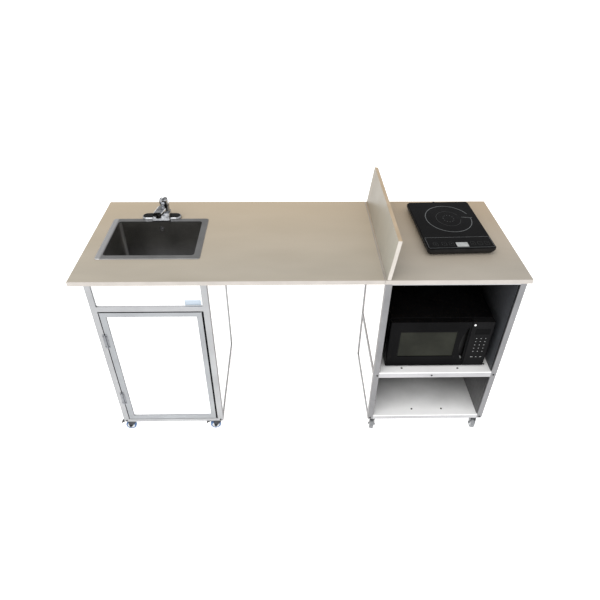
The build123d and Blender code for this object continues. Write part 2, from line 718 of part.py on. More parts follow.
LEVER_OUT = 15.2
LEVER_CUT = 14.0
with BuildPart() as faucet_lever:
    with BuildSketch(Plane.XY.offset(TAP_BODY_TOP + 8)):
        with Locations((TAP_AXIS_X, TAP_Y)):
            RectangleRounded(42, 40, 14)
    with BuildSketch(Plane.XY.offset(TAP_BODY_TOP + 30)):
        with Locations((TAP_AXIS_X, TAP_Y - 4)):
            RectangleRounded(34, 34, 12)
    loft()
    fillet(faucet_lever.faces().sort_by(Axis.Z)[-1].edges(), 5)
    # Room for the hub's ears, and behind the pivot for the lever's lift.
    with Locations((TAP_AXIS_X, TAP_Y, TAP_BODY_TOP + 8)):
        Box(2 * LEVER_OUT, 24, 30, mode=Mode.SUBTRACT)
    with BuildSketch(Plane.YZ.offset(TAP_AXIS_X)):
        with BuildLine():
            Polyline(
                (TAP_Y, TAP_BODY_TOP + 7),
                (TAP_Y, TAP_BODY_TOP + 8),
                (TAP_Y + 26, TAP_BODY_TOP + 8 + LEVER_CUT),
                (TAP_Y + 26, TAP_BODY_TOP + 7),
                close=True,
            )
        make_face()
    extrude(amount=30, both=True, mode=Mode.SUBTRACT)
    with Locations((TAP_AXIS_X, TAP_Y, TAP_PIVOT_Z + 2.5)):
        Box(18, 10, 17)
    with Locations(Location((TAP_AXIS_X, TAP_Y, TAP_PIVOT_Z), (0, 90, 0))):
        Cylinder(2.5 + PIN_FIT, 60, mode=Mode.SUBTRACT)
    # Grip: a flat blade rising towards the user.
    with BuildSketch(
        Plane(origin=(TAP_AXIS_X, TAP_Y - 8, TAP_BODY_TOP + 25), z_dir=(0, -0.87, 0.5))
    ):
        RectangleRounded(24, 10, 4)
    with BuildSketch(
        Plane(origin=(TAP_AXIS_X, TAP_Y - 50, TAP_BODY_TOP + 46), z_dir=(0, -0.87, 0.5))
    ):
        RectangleRounded(20, 7, 3)
    loft()
save(faucet_lever.part, "faucet_lever")

# --- Water system --------------------------------------------------------------------

TANK_DEEP = 400.0
TANK_BACK = SINK_BACK - 40.0
FRESH_X = (-822.0, -642.0)
WASTE_X = (-622.0, -412.0)
FRESH_H = 360.0
WASTE_H = 380.0
NECK_R = 29.0


def tank(name, x, height, neck_y):
    """A moulded tank on the cabinet floor, with its screw cap."""
    mid = (x[0] + x[1]) / 2
    with BuildPart() as body:
        block(
            (x[0], TANK_BACK - TANK_DEEP, FLOOR_TOP), (x[1], TANK_BACK, FLOOR_TOP + height)
        )
        fillet(body.edges().filter_by(Axis.Z), 22)
        fillet(body.faces().sort_by(Axis.Z)[-1].edges(), 14)
        with Locations((mid, neck_y, FLOOR_TOP + height + 5)):
            Cylinder(NECK_R - 4, 12)
    with BuildPart() as cap:
        with BuildSketch(Plane.XY.offset(FLOOR_TOP + height)):
            with Locations((mid, neck_y)):
                Circle(NECK_R)
                Circle(NECK_R - 4, mode=Mode.SUBTRACT)
        extrude(amount=18)
        with BuildSketch(Plane.XY.offset(FLOOR_TOP + height + 11)):
            with Locations((mid, neck_y)):
                Circle(NECK_R - 3)
        extrude(amount=7)
        with Locations((mid, neck_y, FLOOR_TOP + height + 9)):
            with PolarLocations(NECK_R, 24):
                Cylinder(1.0, 14)
    save(tie(body.part, cap.part), name)


fresh_neck_y = TANK_BACK - TANK_DEEP + 70
waste_neck_y = DRAIN_XY[1] + 60
tank("fresh_water_tank", FRESH_X, FRESH_H, fresh_neck_y)
tank("waste_water_tank", WASTE_X, WASTE_H, waste_neck_y)

# The pump hangs on the back panel, with its inlet on the right and its outlet turned up.
PUMP = (-775.0, 172.0, 560.0)
PORT_R = 6.5
OUTLET_X = PUMP[0] - 42
OUTLET_TOP = PUMP[2] + 30
panel_face = SINK_BACK - INSET - SHEET
with BuildPart() as water_pump:
    with Locations(PUMP):
        Box(60, 60, 50)
    fillet(water_pump.edges().filter_by(Axis.Z), 8)
    with Locations((PUMP[0], PUMP[1], PUMP[2] + 80)):
        Cylinder(26, 112)
    block((PUMP[0] - 36, panel_face - 9, PUMP[2] - 35), (PUMP[0] + 36, panel_face, PUMP[2] + 115))
    block((PUMP[0] - 12, PUMP[1], PUMP[2] - 20), (PUMP[0] + 12, panel_face - 8, PUMP[2] + 100))
    with Locations(Location((PUMP[0], PUMP[1], PUMP[2]), (0, 90, 0))):
        Cylinder(PORT_R, 2 * (PUMP[0] - OUTLET_X))
    with Locations((OUTLET_X, PUMP[1], (PUMP[2] + OUTLET_TOP) / 2)):
        Cylinder(PORT_R, OUTLET_TOP - PUMP[2])
save(water_pump.part, "water_pump")

HOSE_R = 8.0
HOSE_BORE = 5.5
shank_low = TOP_UNDER - 46
fresh_mid = (FRESH_X[0] + FRESH_X[1]) / 2
suction_top = FLOOR_TOP + FRESH_H + 18
suction = hose(
    [
        (fresh_mid, fresh_neck_y, suction_top),
        (fresh_mid, fresh_neck_y, suction_top + 60),
        (fresh_mid + 20, fresh_neck_y + 110, PUMP[2]),
        (PUMP[0] + 115, PUMP[1], PUMP[2]),
        (PUMP[0] + 42, PUMP[1], PUMP[2]),
    ],
    [24, 60, 26],
    HOSE_R,
    HOSE_BORE,
)
pressure = hose(
    [
        (OUTLET_X, PUMP[1], OUTLET_TOP),
        (OUTLET_X, PUMP[1], 768),
        (TAP_X - 51, TAP_Y, 790),
        (TAP_X - 51, TAP_Y, shank_low),
    ],
    [60, 36],
    HOSE_R,
    HOSE_BORE,
)
save(tie(suction, pressure), "supply_hoses")

waste_mid = (WASTE_X[0] + WASTE_X[1]) / 2
drain_hose = hose(
    [
        (DRAIN_XY[0], DRAIN_XY[1], tail_bottom),
        (DRAIN_XY[0], DRAIN_XY[1], tail_bottom - 50),
        (waste_mid, waste_neck_y, tail_bottom - 62),
        (waste_mid, waste_neck_y, FLOOR_TOP + WASTE_H + 18),
    ],
    [26, 26],
    TAIL_R - 2,
    TAIL_R - 5,
)
save(drain_hose, "drain_hose")

# --- Casters -------------------------------------------------------------------------

SWIVEL_TOP = CASTER_Z - PLATE_THICK - 0.5
CROWN_Z = 66.0
KING_R = 4.0
CHEEK_X = WHEEL_WIDTH / 2 + 1.5
PEDAL_PIN = (-2.0, 60.0)
PEDAL_PIN_R = 2.0
PEDAL_TIP = -57.0


def caster_spots(x, back):
    """Swivel centres of the four casters of one base, front ones first."""
    xs = (x[0] + CASTER_INSET, x[1] - CASTER_INSET)
    ys = (BASE_FRONT + CASTER_INSET, back - CASTER_INSET)
    return [(xs[0], ys[0]), (xs[1], ys[0]), (xs[0], ys[1]), (xs[1], ys[1])]


def caster_place(spot, heading):
    """Where a caster made about the origin goes; heading turns its trail from -Y."""
    return Location((spot[0], spot[1], 0), (0, 0, heading))


def caster_fork():
    """Swivel head, crown, two cheeks, axle and pedal pin, trailing towards -Y."""
    with BuildPart() as head:
        with Locations((0, 0, (CROWN_Z + SWIVEL_TOP) / 2)):
            Cylinder(18, SWIVEL_TOP - CROWN_Z)
        fillet(head.edges().sort_by(Axis.Z)[-1], 3)
        with Locations((0, 0, CASTER_Z)):
            Cylinder(KING_R + PIN_FIT, 40, mode=Mode.SUBTRACT)
    with BuildPart() as crown:
        block((-CHEEK_X - CHEEK, -18, CROWN_Z - 3), (CHEEK_X + CHEEK, 18, CROWN_Z))
        with Locations((0, 0, CASTER_Z)):
            Cylinder(KING_R + PIN_FIT, 60, mode=Mode.SUBTRACT)
    solids = [head.part, crown.part]
    for side in (-1, 1):
        with BuildPart() as cheek:
            with BuildSketch(Plane.YZ.offset(side * (CHEEK_X + CHEEK / 2))):
                with BuildLine():
                    Polyline(
                        (18, CROWN_Z - 3),
                        (14, CROWN_Z - 14),
                        (-CASTER_TRAIL + 6.5, WHEEL_R - 1),
                        (-CASTER_TRAIL - 6.5, WHEEL_R - 1),
                        (-CASTER_TRAIL - 9, CROWN_Z - 14),
                        (-18, CROWN_Z - 3),
                        close=True,
                    )
                make_face()
                with Locations((-CASTER_TRAIL, WHEEL_R)):
                    Circle(7)
            extrude(amount=CHEEK / 2, both=True)
        solids.append(cheek.part)
    with BuildPart() as axle:
        with Locations(Location((0, -CASTER_TRAIL, WHEEL_R), (0, 90, 0))):
            Cylinder(AXLE_R, 2 * CHEEK_X)
        for side in (-1, 1):
            with Locations(
                Location(
                    (side * (CHEEK_X + CHEEK + 1.5), -CASTER_TRAIL, WHEEL_R), (0, 90, 0)
                )
            ):
                Cylinder(5.5, 3)
    solids += axle.part.solids()
    return solids


def pedal_pin():
    """The pin that a brake pedal turns on, between the cheeks."""
    with BuildPart() as pin:
        with Locations(Location((0, PEDAL_PIN[0], PEDAL_PIN[1]), (0, 90, 0))):
            Cylinder(PEDAL_PIN_R, 2 * CHEEK_X)
    return pin.part


def caster_wheel():
    """A wheel with a recessed hub, trailing towards -Y."""
    with BuildPart() as wheel:
        with BuildSketch(Plane.XZ):
            with BuildLine():
                Polyline(
                    (AXLE_R + PIN_FIT, -CHEEK_X + 0.6),
                    (9, -CHEEK_X + 0.6),
                    (9, -WHEEL_WIDTH / 2 + 3.5),
                    (17, -WHEEL_WIDTH / 2 + 3.5),
                    (18.5, -WHEEL_WIDTH / 2),
                    (WHEEL_R - 3, -WHEEL_WIDTH / 2),
                    (WHEEL_R, -WHEEL_WIDTH / 2 + 4),
                    (WHEEL_R, WHEEL_WIDTH / 2 - 4),
                    (WHEEL_R - 3, WHEEL_WIDTH / 2),
                    (18.5, WHEEL_WIDTH / 2),
                    (17, WHEEL_WIDTH / 2 - 3.5),
                    (9, WHEEL_WIDTH / 2 - 3.5),
                    (9, CHEEK_X - 0.6),
                    (AXLE_R + PIN_FIT, CHEEK_X - 0.6),
                    close=True,
                )
            make_face()
        revolve(axis=Axis.Z)
    return wheel.part.moved(Location((0, -CASTER_TRAIL, WHEEL_R), (0, 90, 0)))


def brake_pedal():
    """A pressed pedal over the wheel, with a shoe above the tread."""
    y0, z0 = PEDAL_PIN
    with BuildPart() as pedal:
        with BuildSketch(Plane.YZ):
            with BuildLine():
                Polyline(
                    (y0 + 4, z0 + 1.5),
                    (y0 - 22, z0 + 1.5),
                    (PEDAL_TIP + 14, z0 - 3),
                    (PEDAL_TIP, z0 - 13),
                    (PEDAL_TIP + 1.5, z0 - 15),
                    (PEDAL_TIP + 15.5, z0 - 5.2),
                    (y0 - 21, z0 - 1),
                    (y0 - 20, z0 - 6.5),
                    (y0 - 10, z0 - 6.5),
                    (y0 - 8, z0 - 4),
                    (y0 + 4, z0 - 4),
                    close=True,
                )
            make_face()
        extrude(amount=CHEEK_X - 0.7, both=True)
        with Locations(Location((0, y0, z0), (0, 90, 0))):
            Cylinder(PEDAL_PIN_R + PIN_FIT, 60, mode=Mode.SUBTRACT)
    return pedal.part


# Headings: the sink base's front casters trail to the left, the open base's to the front.
CASTERS = []
for base, spots, headings in (
    ("sink", caster_spots(SINK_X, SINK_BACK), (-90, -84, 160, 175)),
    ("open", caster_spots(OPEN_X, OPEN_BACK), (-14, -8, 170, 186)),
):
    for where, spot, heading in zip(
        ("front_left", "front_right", "rear_left", "rear_right"), spots, headings
    ):
        CASTERS.append((f"{base}_{where}", spot, heading, base == "sink" and "front" in where))

plates = []
for name, spot, heading, braked in CASTERS:
    place = caster_place(spot, heading)
    fork = caster_fork()
    if braked:
        fork.append(pedal_pin())
        save(brake_pedal().moved(place), f"brake_pedal_{name}")
    save(tie(*[solid.moved(place) for solid in fork]), f"caster_fork_{name}")
    save(caster_wheel().moved(place), f"caster_wheel_{name}")
    with BuildPart() as plate:
        with Locations((spot[0], spot[1], CASTER_Z - PLATE_THICK / 2)):
            Box(56, 56, PLATE_THICK)
        fillet(plate.edges().filter_by(Axis.Z), 6)
        with Locations((spot[0], spot[1], (CROWN_Z + CASTER_Z) / 2 - 1.5)):
            Cylinder(KING_R, CASTER_Z - CROWN_Z + 3)
    plates.append(plate.part)
save(tie(*plates), "caster_plates")

# --- Microwave oven ------------------------------------------------------------------

oven_z = (MID_TOP + OVEN_FOOT, MID_TOP + OVEN_FOOT + OVEN_SIZE[2])
oven_x = (OVEN_X, OVEN_X + OVEN_SIZE[0])
oven_y = (OVEN_FRONT, OVEN_FRONT + OVEN_SIZE[1])
case_front = OVEN_FRONT + OVEN_DOOR
panel_x = oven_x[1] - OVEN_PANEL_W
cavity_x = (oven_x[0] + 16, oven_x[0] + 16 + CAVITY[0])
cavity_y = (case_front, case_front + CAVITY[1])
cavity_z = (oven_z[0] + 26, oven_z[1] - 24)
TABLE_XY = ((cavity_x[0] + cavity_x[1]) / 2, (cavity_y[0] + cavity_y[1]) / 2 + 2)
TABLE_R = 122.0
DRIVE_R = 6.0
PLATE_Z = cavity_z[0] + 12

with BuildPart() as microwave_case:
    block((oven_x[0], case_front, oven_z[0]), (oven_x[1], oven_y[1], oven_z[1]))
    fillet(microwave_case.edges().filter_by(Axis.Y), 6)
    block(
        (cavity_x[0], cavity_y[0] - 1, cavity_z[0]),
        (cavity_x[1], cavity_y[1], cavity_z[1]),
        mode=Mode.SUBTRACT,
    )
    with Locations((TABLE_XY[0], TABLE_XY[1], cavity_z[0])):
        Cylinder(DRIVE_R + PIN_FIT, 24, mode=Mode.SUBTRACT)
save(microwave_case.part, "microwave_case")

with BuildPart() as microwave_control_panel:
    block(
        (panel_x + 1, OVEN_FRONT, oven_z[0] + 1), (oven_x[1] - 1, case_front, oven_z[1] - 1)
    )
    fillet(microwave_control_panel.edges().filter_by(Axis.Z).sort_by(Axis.Y)[:2], 2)
save(microwave_control_panel.part, "microwave_control_panel")

# The door turns about its front left edge, which is rounded about the pin, so that it
# swings clear of the post beside it.
door_back = case_front - OVEN_DOOR_GAP
WINDOW_X = (oven_x[0] + 50, oven_x[0] + 300)
WINDOW_Z = (oven_z[0] + 59, oven_z[1] - 58)
GRIP_X = panel_x - 8
with BuildPart() as microwave_door:
    block(
        (oven_x[0] + 1, OVEN_FRONT, oven_z[0] + 1), (panel_x - 1, door_back, oven_z[1] - 1)
    )
    upright = microwave_door.edges().filter_by(Axis.Z)
    fillet(upright.group_by(Axis.X)[0].sort_by(Axis.Y)[0], DOOR_EDGE_R)
    fillet(upright.group_by(Axis.X)[-1].sort_by(Axis.Y)[0], 2)
    block(
        (WINDOW_X[0], OVEN_FRONT - 1, WINDOW_Z[0]),
        (WINDOW_X[1], door_back + 1, WINDOW_Z[1]),
        mode=Mode.SUBTRACT,
    )
    # Finger pocket down the free edge, straight on its right and bulging to the left.
    grip_mid = (oven_z[0] + oven_z[1]) / 2
    with BuildSketch(Plane.XZ.offset(-OVEN_FRONT)):
        with BuildLine():
            low = (GRIP_X, grip_mid - GRIP_SIZE[1] / 2)
            high = (GRIP_X, grip_mid + GRIP_SIZE[1] / 2)
            Line(low, high)
            ThreePointArc(high, (GRIP_X - GRIP_SIZE[0], grip_mid), low)
        make_face()
    extrude(amount=-GRIP_SIZE[2], mode=Mode.SUBTRACT)
save(microwave_door.part, "microwave_door")

with BuildPart() as microwave_window:
    block(
        (WINDOW_X[0], OVEN_FRONT + 3, WINDOW_Z[0]), (WINDOW_X[1], OVEN_FRONT + 7, WINDOW_Z[1])
    )
save(microwave_window.part, "microwave_window")

with BuildPart() as turntable:
    with Locations((TABLE_XY[0], TABLE_XY[1], PLATE_Z + 3)):
        Cylinder(TABLE_R, 6)
    fillet(turntable.edges().sort_by(Axis.Z)[0], 2.5)
    with Locations((TABLE_XY[0], TABLE_XY[1], PLATE_Z + 7)):
        Cylinder(TABLE_R - 7, 8, mode=Mode.SUBTRACT)
    with Locations((TABLE_XY[0], TABLE_XY[1], (PLATE_Z + cavity_z[0] - 9) / 2)):
        Cylinder(DRIVE_R, PLATE_Z - cavity_z[0] + 9)
save(turntable.part, "turntable")

# --- Induction cooktop ---------------------------------------------------------------

hob_place = Location((HOB_CENTRE[0], HOB_CENTRE[1], TOP_HEIGHT), (0, 0, HOB_TURN))
hob_top = HOB_FOOT + HOB_SIZE[2]

with BuildPart() as cooktop_body:
    for z, shrink in ((HOB_FOOT, HOB_TAPER[0]), (HOB_FOOT + HOB_TAPER[1], 0)):
        with BuildSketch(Plane.XY.offset(z)) as outline:
            Rectangle(HOB_SIZE[0] - 2 * shrink, HOB_SIZE[1] - 2 * shrink)
            chamfer(outline.vertices(), HOB_CORNER)
    loft()
    with BuildSketch(Plane.XY.offset(HOB_FOOT + HOB_TAPER[1])) as outline:
        Rectangle(HOB_SIZE[0], HOB_SIZE[1])
        chamfer(outline.vertices(), HOB_CORNER)
    extrude(amount=HOB_SIZE[2] - HOB_TAPER[1])
save(cooktop_body.part.moved(hob_place), "cooktop_body")

with BuildPart() as cooktop_glass:
    with BuildSketch(Plane.XY.offset(hob_top)) as outline:
        Rectangle(HOB_SIZE[0] - 6, HOB_SIZE[1] - 6)
        chamfer(outline.vertices(), HOB_CORNER - 2)
    extrude(amount=HOB_GLASS)
    chamfer(cooktop_glass.faces().sort_by(Axis.Z)[-1].edges(), 1)
save(cooktop_glass.part.moved(hob_place), "cooktop_glass")

# --- Rubber pieces of the appliances -------------------------------------------------

rubber = []
for fx in (oven_x[0] + 32, oven_x[1] - 32):
    for fy in (case_front + 20, oven_y[1] - 24):
        with BuildPart() as foot:
            with Locations((fx, fy, MID_TOP + OVEN_FOOT / 2)):
                Cylinder(13, OVEN_FOOT)
        rubber.append(foot.part)
for fx in (-1, 1):
    for fy in (-1, 1):
        with BuildPart() as foot:
            with Locations((fx * 100, fy * 158, HOB_FOOT / 2)):
                Cylinder(15, HOB_FOOT)
        rubber.append(foot.part.moved(hob_place))
with BuildPart() as gland:
    with BuildSketch(Plane.XZ.offset(-HOB_SIZE[1] / 2)):
        with Locations((-12, hob_top - 9)):
            Circle(6)
    extrude(amount=-16)
rubber.append(gland.part.moved(hob_place))
save(tie(*rubber), "appliance_rubber")
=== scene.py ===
import math

import bmesh
import bpy
from mathutils import Matrix, Vector


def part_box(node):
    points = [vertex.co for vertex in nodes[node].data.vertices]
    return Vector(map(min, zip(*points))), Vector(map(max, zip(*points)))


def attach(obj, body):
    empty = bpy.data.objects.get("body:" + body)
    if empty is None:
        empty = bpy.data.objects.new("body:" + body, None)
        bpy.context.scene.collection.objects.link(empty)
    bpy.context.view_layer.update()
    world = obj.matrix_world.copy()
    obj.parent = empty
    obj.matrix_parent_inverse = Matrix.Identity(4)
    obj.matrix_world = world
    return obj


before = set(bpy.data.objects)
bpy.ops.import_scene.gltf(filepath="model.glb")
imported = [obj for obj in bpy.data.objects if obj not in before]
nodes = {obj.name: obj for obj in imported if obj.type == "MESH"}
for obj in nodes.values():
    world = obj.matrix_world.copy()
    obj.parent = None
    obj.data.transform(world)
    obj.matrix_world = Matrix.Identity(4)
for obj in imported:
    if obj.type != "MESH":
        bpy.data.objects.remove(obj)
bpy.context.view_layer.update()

# The looks of the portable handwash sink station. Lengths in the tables below are in
# millimetres, in the CAD model's frame; MM turns them into Blender's metres.

MM = 0.001
X_AXIS = 0
Z_AXIS = 2
BOWL_FLOOR = 726.0
RIM_TOP = 933.0
TOP_HEIGHT = 930.0
RIM_INNER_X = -830.0
BASIN_MID_X = -635.5


# --- Node materials --------------------------------------------------------------------


def linear(rgb, alpha=1.0):
    """An sRGB colour given as 0-255, as the linear RGBA that shaders take."""
    out = []
    for channel in rgb:
        c = channel / 255
        out.append(c / 12.92 if c <= 0.04045 else ((c + 0.055) / 1.055) ** 2.4)
    return (*out, alpha)


class Surface:
    """A Principled material whose colour, roughness and bump come from noise nodes.

    Texture space is the object's own metres, so a pattern has its real size.
    """

    def __init__(self, name, metal=0.0, spec=0.5):
        self.mat = bpy.data.materials.new(name)
        self.mat.use_nodes = True
        self.tree = self.mat.node_tree
        self.shader = next(n for n in self.tree.nodes if n.type == "BSDF_PRINCIPLED")
        self.set("Metallic", metal)
        self.set("Specular IOR Level", spec)
        self.place = self.add("ShaderNodeTexCoord").outputs["Object"]
        self.height = None

    def add(self, kind):
        return self.tree.nodes.new(kind)

    def link(self, out, socket):
        self.tree.links.new(out, socket)

    def feed(self, socket, value):
        """Links a socket to an output, or gives it a constant."""
        if isinstance(value, bpy.types.NodeSocket):
            self.link(value, socket)
        else:
            socket.default_value = value

    def set(self, socket, value):
        self.shader.inputs[socket].default_value = value

    def glow(self, strength):
        """Adds a little white light of its own, so that a white sheet stays white in shade."""
        self.set("Emission Color", (1.0, 1.0, 1.0, 1.0))
        self.set("Emission Strength", strength)

    def noise(self, scale, detail=3.0, stretch=(1, 1, 1), rough=0.55, warp=0.0):
        """Noise of a number of features per metre, stretched along axes."""
        mapping = self.add("ShaderNodeMapping")
        mapping.inputs["Scale"].default_value = stretch
        self.link(self.place, mapping.inputs["Vector"])
        tex = self.add("ShaderNodeTexNoise")
        tex.inputs["Scale"].default_value = scale
        tex.inputs["Detail"].default_value = detail
        tex.inputs["Roughness"].default_value = rough
        tex.inputs["Distortion"].default_value = warp
        self.link(mapping.outputs["Vector"], tex.inputs["Vector"])
        return tex.outputs["Fac"]

    def ramp(self, fac, stops):
        """A colour ramp of (position, linear colour) stops."""
        node = self.add("ShaderNodeValToRGB")
        while len(node.color_ramp.elements) < len(stops):
            node.color_ramp.elements.new(0.5)
        for element, (position, colour) in zip(node.color_ramp.elements, stops):
            element.position = position
            element.color = colour
        self.link(fac, node.inputs["Fac"])
        return node.outputs["Color"]

    def span(self, value, low, high, out_low=0.0, out_high=1.0):
        """A value mapped from one range to another and held inside it."""
        node = self.add("ShaderNodeMapRange")
        node.inputs["From Min"].default_value = low
        node.inputs["From Max"].default_value = high
        node.inputs["To Min"].default_value = out_low
        node.inputs["To Max"].default_value = out_high
        self.link(value, node.inputs["Value"])
        return node.outputs["Result"]

    def mix(self, fac, a, b, mode="MIX"):
        """Two colours mixed; each may be a socket or a linear colour."""
        node = self.add("ShaderNodeMix")
        node.data_type = "RGBA"
        node.blend_type = mode
        for index, value in ((0, fac), (6, a), (7, b)):
            self.feed(node.inputs[index], value)
        return node.outputs[2]

    def math(self, op, a, b):
        """Two values combined; each may be a socket or a number."""
        node = self.add("ShaderNodeMath")
        node.operation = op
        for index, value in ((0, a), (1, b)):
            self.feed(node.inputs[index], value)
        return node.outputs["Value"]

    def blend(self, a, share, b):
        """A share of one value and the rest of another, added up."""
        return self.math("ADD", self.math("MULTIPLY", a, share), self.math("MULTIPLY", b, 1 - share))

    def axis(self, index):
        """One coordinate of the texture space, in metres."""
        node = self.add("ShaderNodeSeparateXYZ")
        self.link(self.place, node.inputs["Vector"])
        return node.outputs[index]

    def colour(self, out):
        self.link(out, self.shader.inputs["Base Color"])

    def rough(self, fac, low, high):
        self.link(self.span(fac, 0.25, 0.75, low, high), self.shader.inputs["Roughness"])

    def bump(self, fac, strength, depth):
        """Adds one layer of relief, depth in metres."""
        node = self.add("ShaderNodeBump")
        node.inputs["Strength"].default_value = strength
        node.inputs["Distance"].default_value = depth
        self.link(fac, node.inputs["Height"])
        if self.height is not None:
            self.link(self.height, node.inputs["Normal"])
        self.height = node.outputs["Normal"]
        self.link(self.height, self.shader.inputs["Normal"])


def surface(
    name,
    tones,
    rough,
    metal=0.0,
    spec=0.5,
    cloud=5.0,
    grain=1200.0,
    stretch=(1, 1, 1),
    relief=0.00005,
    wear=None,
):
    """A material with clouded colour, fine grain in its gloss and relief, and faint scuffs.

    tones are its darker and lighter sRGB colours; wear is (colour, amount) of the scuffs.
    """
    s = Surface(name, metal, spec)
    clouds = s.noise(cloud, 4.0)
    fine = s.noise(grain, 2.0, stretch)
    blend = s.blend(clouds, 0.7, fine)
    base = s.ramp(blend, [(0.36, linear(tones[0])), (0.64, linear(tones[1]))])
    if wear:
        colour, amount = wear
        scuff = s.span(s.noise(38.0, 6.0, (1, 1, 1), 0.7, 0.6), 0.62, 0.74, 0.0, amount)
        base = s.mix(scuff, base, linear(colour))
    s.colour(base)
    s.rough(s.blend(clouds, 0.5, fine), *rough)
    s.bump(fine, 0.5, relief)
    return s


def laminate(name, tones, painted_back_light, spec=0.42):
    """Satin worktop laminate: soft clouds, fine speckle, warmer and darker to the back, which is painted
    sheen and shade.
    """
    s = Surface(name, 0.0, spec)
    clouds = s.noise(2.6, 3.0, (0.6, 1.6, 1.0))
    speckle = s.noise(1900.0, 2.0)
    flecks = s.noise(520.0, 2.0)
    base = s.ramp(clouds, [(0.35, linear(tones[0])), (0.65, linear(tones[1]))])
    # Painted light: towards the back the colour turns to the given back colour, a painted warm sheen on the
    # worktop boards and painted shade on the screen.
    back = s.span(s.axis("Y"), -0.26, 0.36, 0.0, 0.75)
    base = s.mix(back, base, linear(painted_back_light))
    base = s.mix(s.span(speckle, 0.3, 0.7, 0.0, 0.10), base, linear((226, 217, 203)))
    base = s.mix(s.span(flecks, 0.58, 0.72, 0.0, 0.16), base, linear((150, 138, 118)))
    s.colour(base)
    smudges = s.noise(9.0, 5.0, (1, 1, 1), 0.6, 0.8)
    s.rough(s.blend(smudges, 0.75, speckle), 0.30, 0.50)
    s.bump(speckle, 0.35, 0.00006)
    s.bump(flecks, 0.2, 0.00008)
    return s


def metal_grain(name, tones, rough, axis=None, spec=0.5, spots=0.0, scratches=0.25):
    """Brushed or drawn metal with its grain along one axis, and faint cross scratches."""
    s = Surface(name, 1.0, spec)
    stretch = [1.0, 1.0, 1.0]
    if axis is not None:
        stretch[axis] = 0.02
    drawn = s.noise(1500.0, 3.0, stretch)
    clouds = s.noise(7.0, 4.0)
    nicks = s.noise(160.0, 6.0, (1, 0.15, 1), 0.75, 1.4)
    blend = s.blend(clouds, 0.6, drawn)
    base = s.ramp(blend, [(0.36, linear(tones[0])), (0.64, linear(tones[1]))])
    base = s.mix(s.span(nicks, 0.64, 0.76, 0.0, scratches), base, linear(tones[2]))
    if spots:
        marks = s.noise(55.0, 3.0, (1, 1, 1), 0.5, 0.3)
        base = s.mix(s.span(marks, 0.66, 0.7, 0.0, spots), base, linear(tones[2]))
    s.colour(base)
    s.rough(s.blend(clouds, 0.5, drawn), *rough)
    s.bump(drawn, 0.35, 0.00003)
    s.bump(nicks, 0.12, 0.00003)
    return s


def clear_plastic(name, tint, rough, transmission, ior=1.46):
    """Translucent plastic: milky tint with clouds in it and a soft moulded skin."""
    s = Surface(name, 0.0, 0.5)
    clouds = s.noise(14.0, 4.0)
    skin = s.noise(700.0, 2.0)
    darker = [c * 0.9 for c in tint]
    s.colour(s.ramp(clouds, [(0.35, linear(darker)), (0.65, linear(tint))]))
    s.rough(s.blend(clouds, 0.5, skin), *rough)
    s.bump(skin, 0.3, 0.0001)
    s.set("Transmission Weight", transmission)
    s.set("IOR", ior)
    return s


def liner(name, low, high, along, near, far, spec):
    """A dark painted sheet with painted light and shade: lighter towards one end of an axis, where light
    reaches it, darker towards the other.
    """
    s = Surface(name, 0.0, spec)
    clouds = s.noise(5.0, 4.0)
    skin = s.noise(900.0, 2.0)
    foot = s.span(s.axis(along), near * MM, far * MM, 1.0, 0.0)
    blend = s.blend(clouds, 0.35, foot)
    s.colour(s.ramp(blend, [(0.1, linear(low)), (0.8, linear(high))]))
    dust = s.noise(60.0, 5.0, (1, 1, 1), 0.7)
    s.rough(dust, 0.38, 0.6)
    s.bump(skin, 0.3, 0.00005)
    return s


def basin_steel(name, rim, wall, floor):
    """Brushed steel with a painted highlight on the rim, most of all at its left, and painted shade down in
    the bowl.
    """
    s = Surface(name, 1.0, 0.5)
    brushed = s.noise(1400.0, 3.0, (0.02, 1, 1))
    clouds = s.noise(9.0, 4.0, (1, 1, 0.4))
    # Painted shade: darker down towards the floor of the bowl.
    down = s.span(s.axis("Z"), BOWL_FLOOR * MM, RIM_TOP * MM)
    depths = ((0.0, floor), (0.5, wall), (0.97, wall), (0.99, rim))
    depth_shade = s.ramp(down, [(position, linear(colour)) for position, colour in depths])
    tone = s.ramp(
        s.blend(clouds, 0.6, brushed),
        [(0.35, (0.72, 0.72, 0.72, 1)), (0.65, (1.0, 1.0, 1.0, 1))],
    )
    base = s.mix(1.0, depth_shade, tone, "MULTIPLY")
    # Painted highlight on the rim's left.
    on_rim = s.span(s.axis("Z"), (RIM_TOP - 2) * MM, (RIM_TOP - 1) * MM)
    left_rim_highlight = s.math("MULTIPLY", s.span(s.axis("X"), (RIM_INNER_X + 4) * MM, (RIM_INNER_X - 4) * MM), on_rim)
    base = s.mix(left_rim_highlight, base, linear((212, 212, 213)))
    water = s.noise(75.0, 3.0, (1, 1, 0.5), 0.5, 0.4)
    base = s.mix(s.span(water, 0.66, 0.7, 0.0, 0.18), base, linear((150, 150, 148)))
    s.colour(base)
    s.rough(s.blend(clouds, 0.4, brushed), 0.24, 0.42)
    s.bump(brushed, 0.4, 0.00003)
    return s


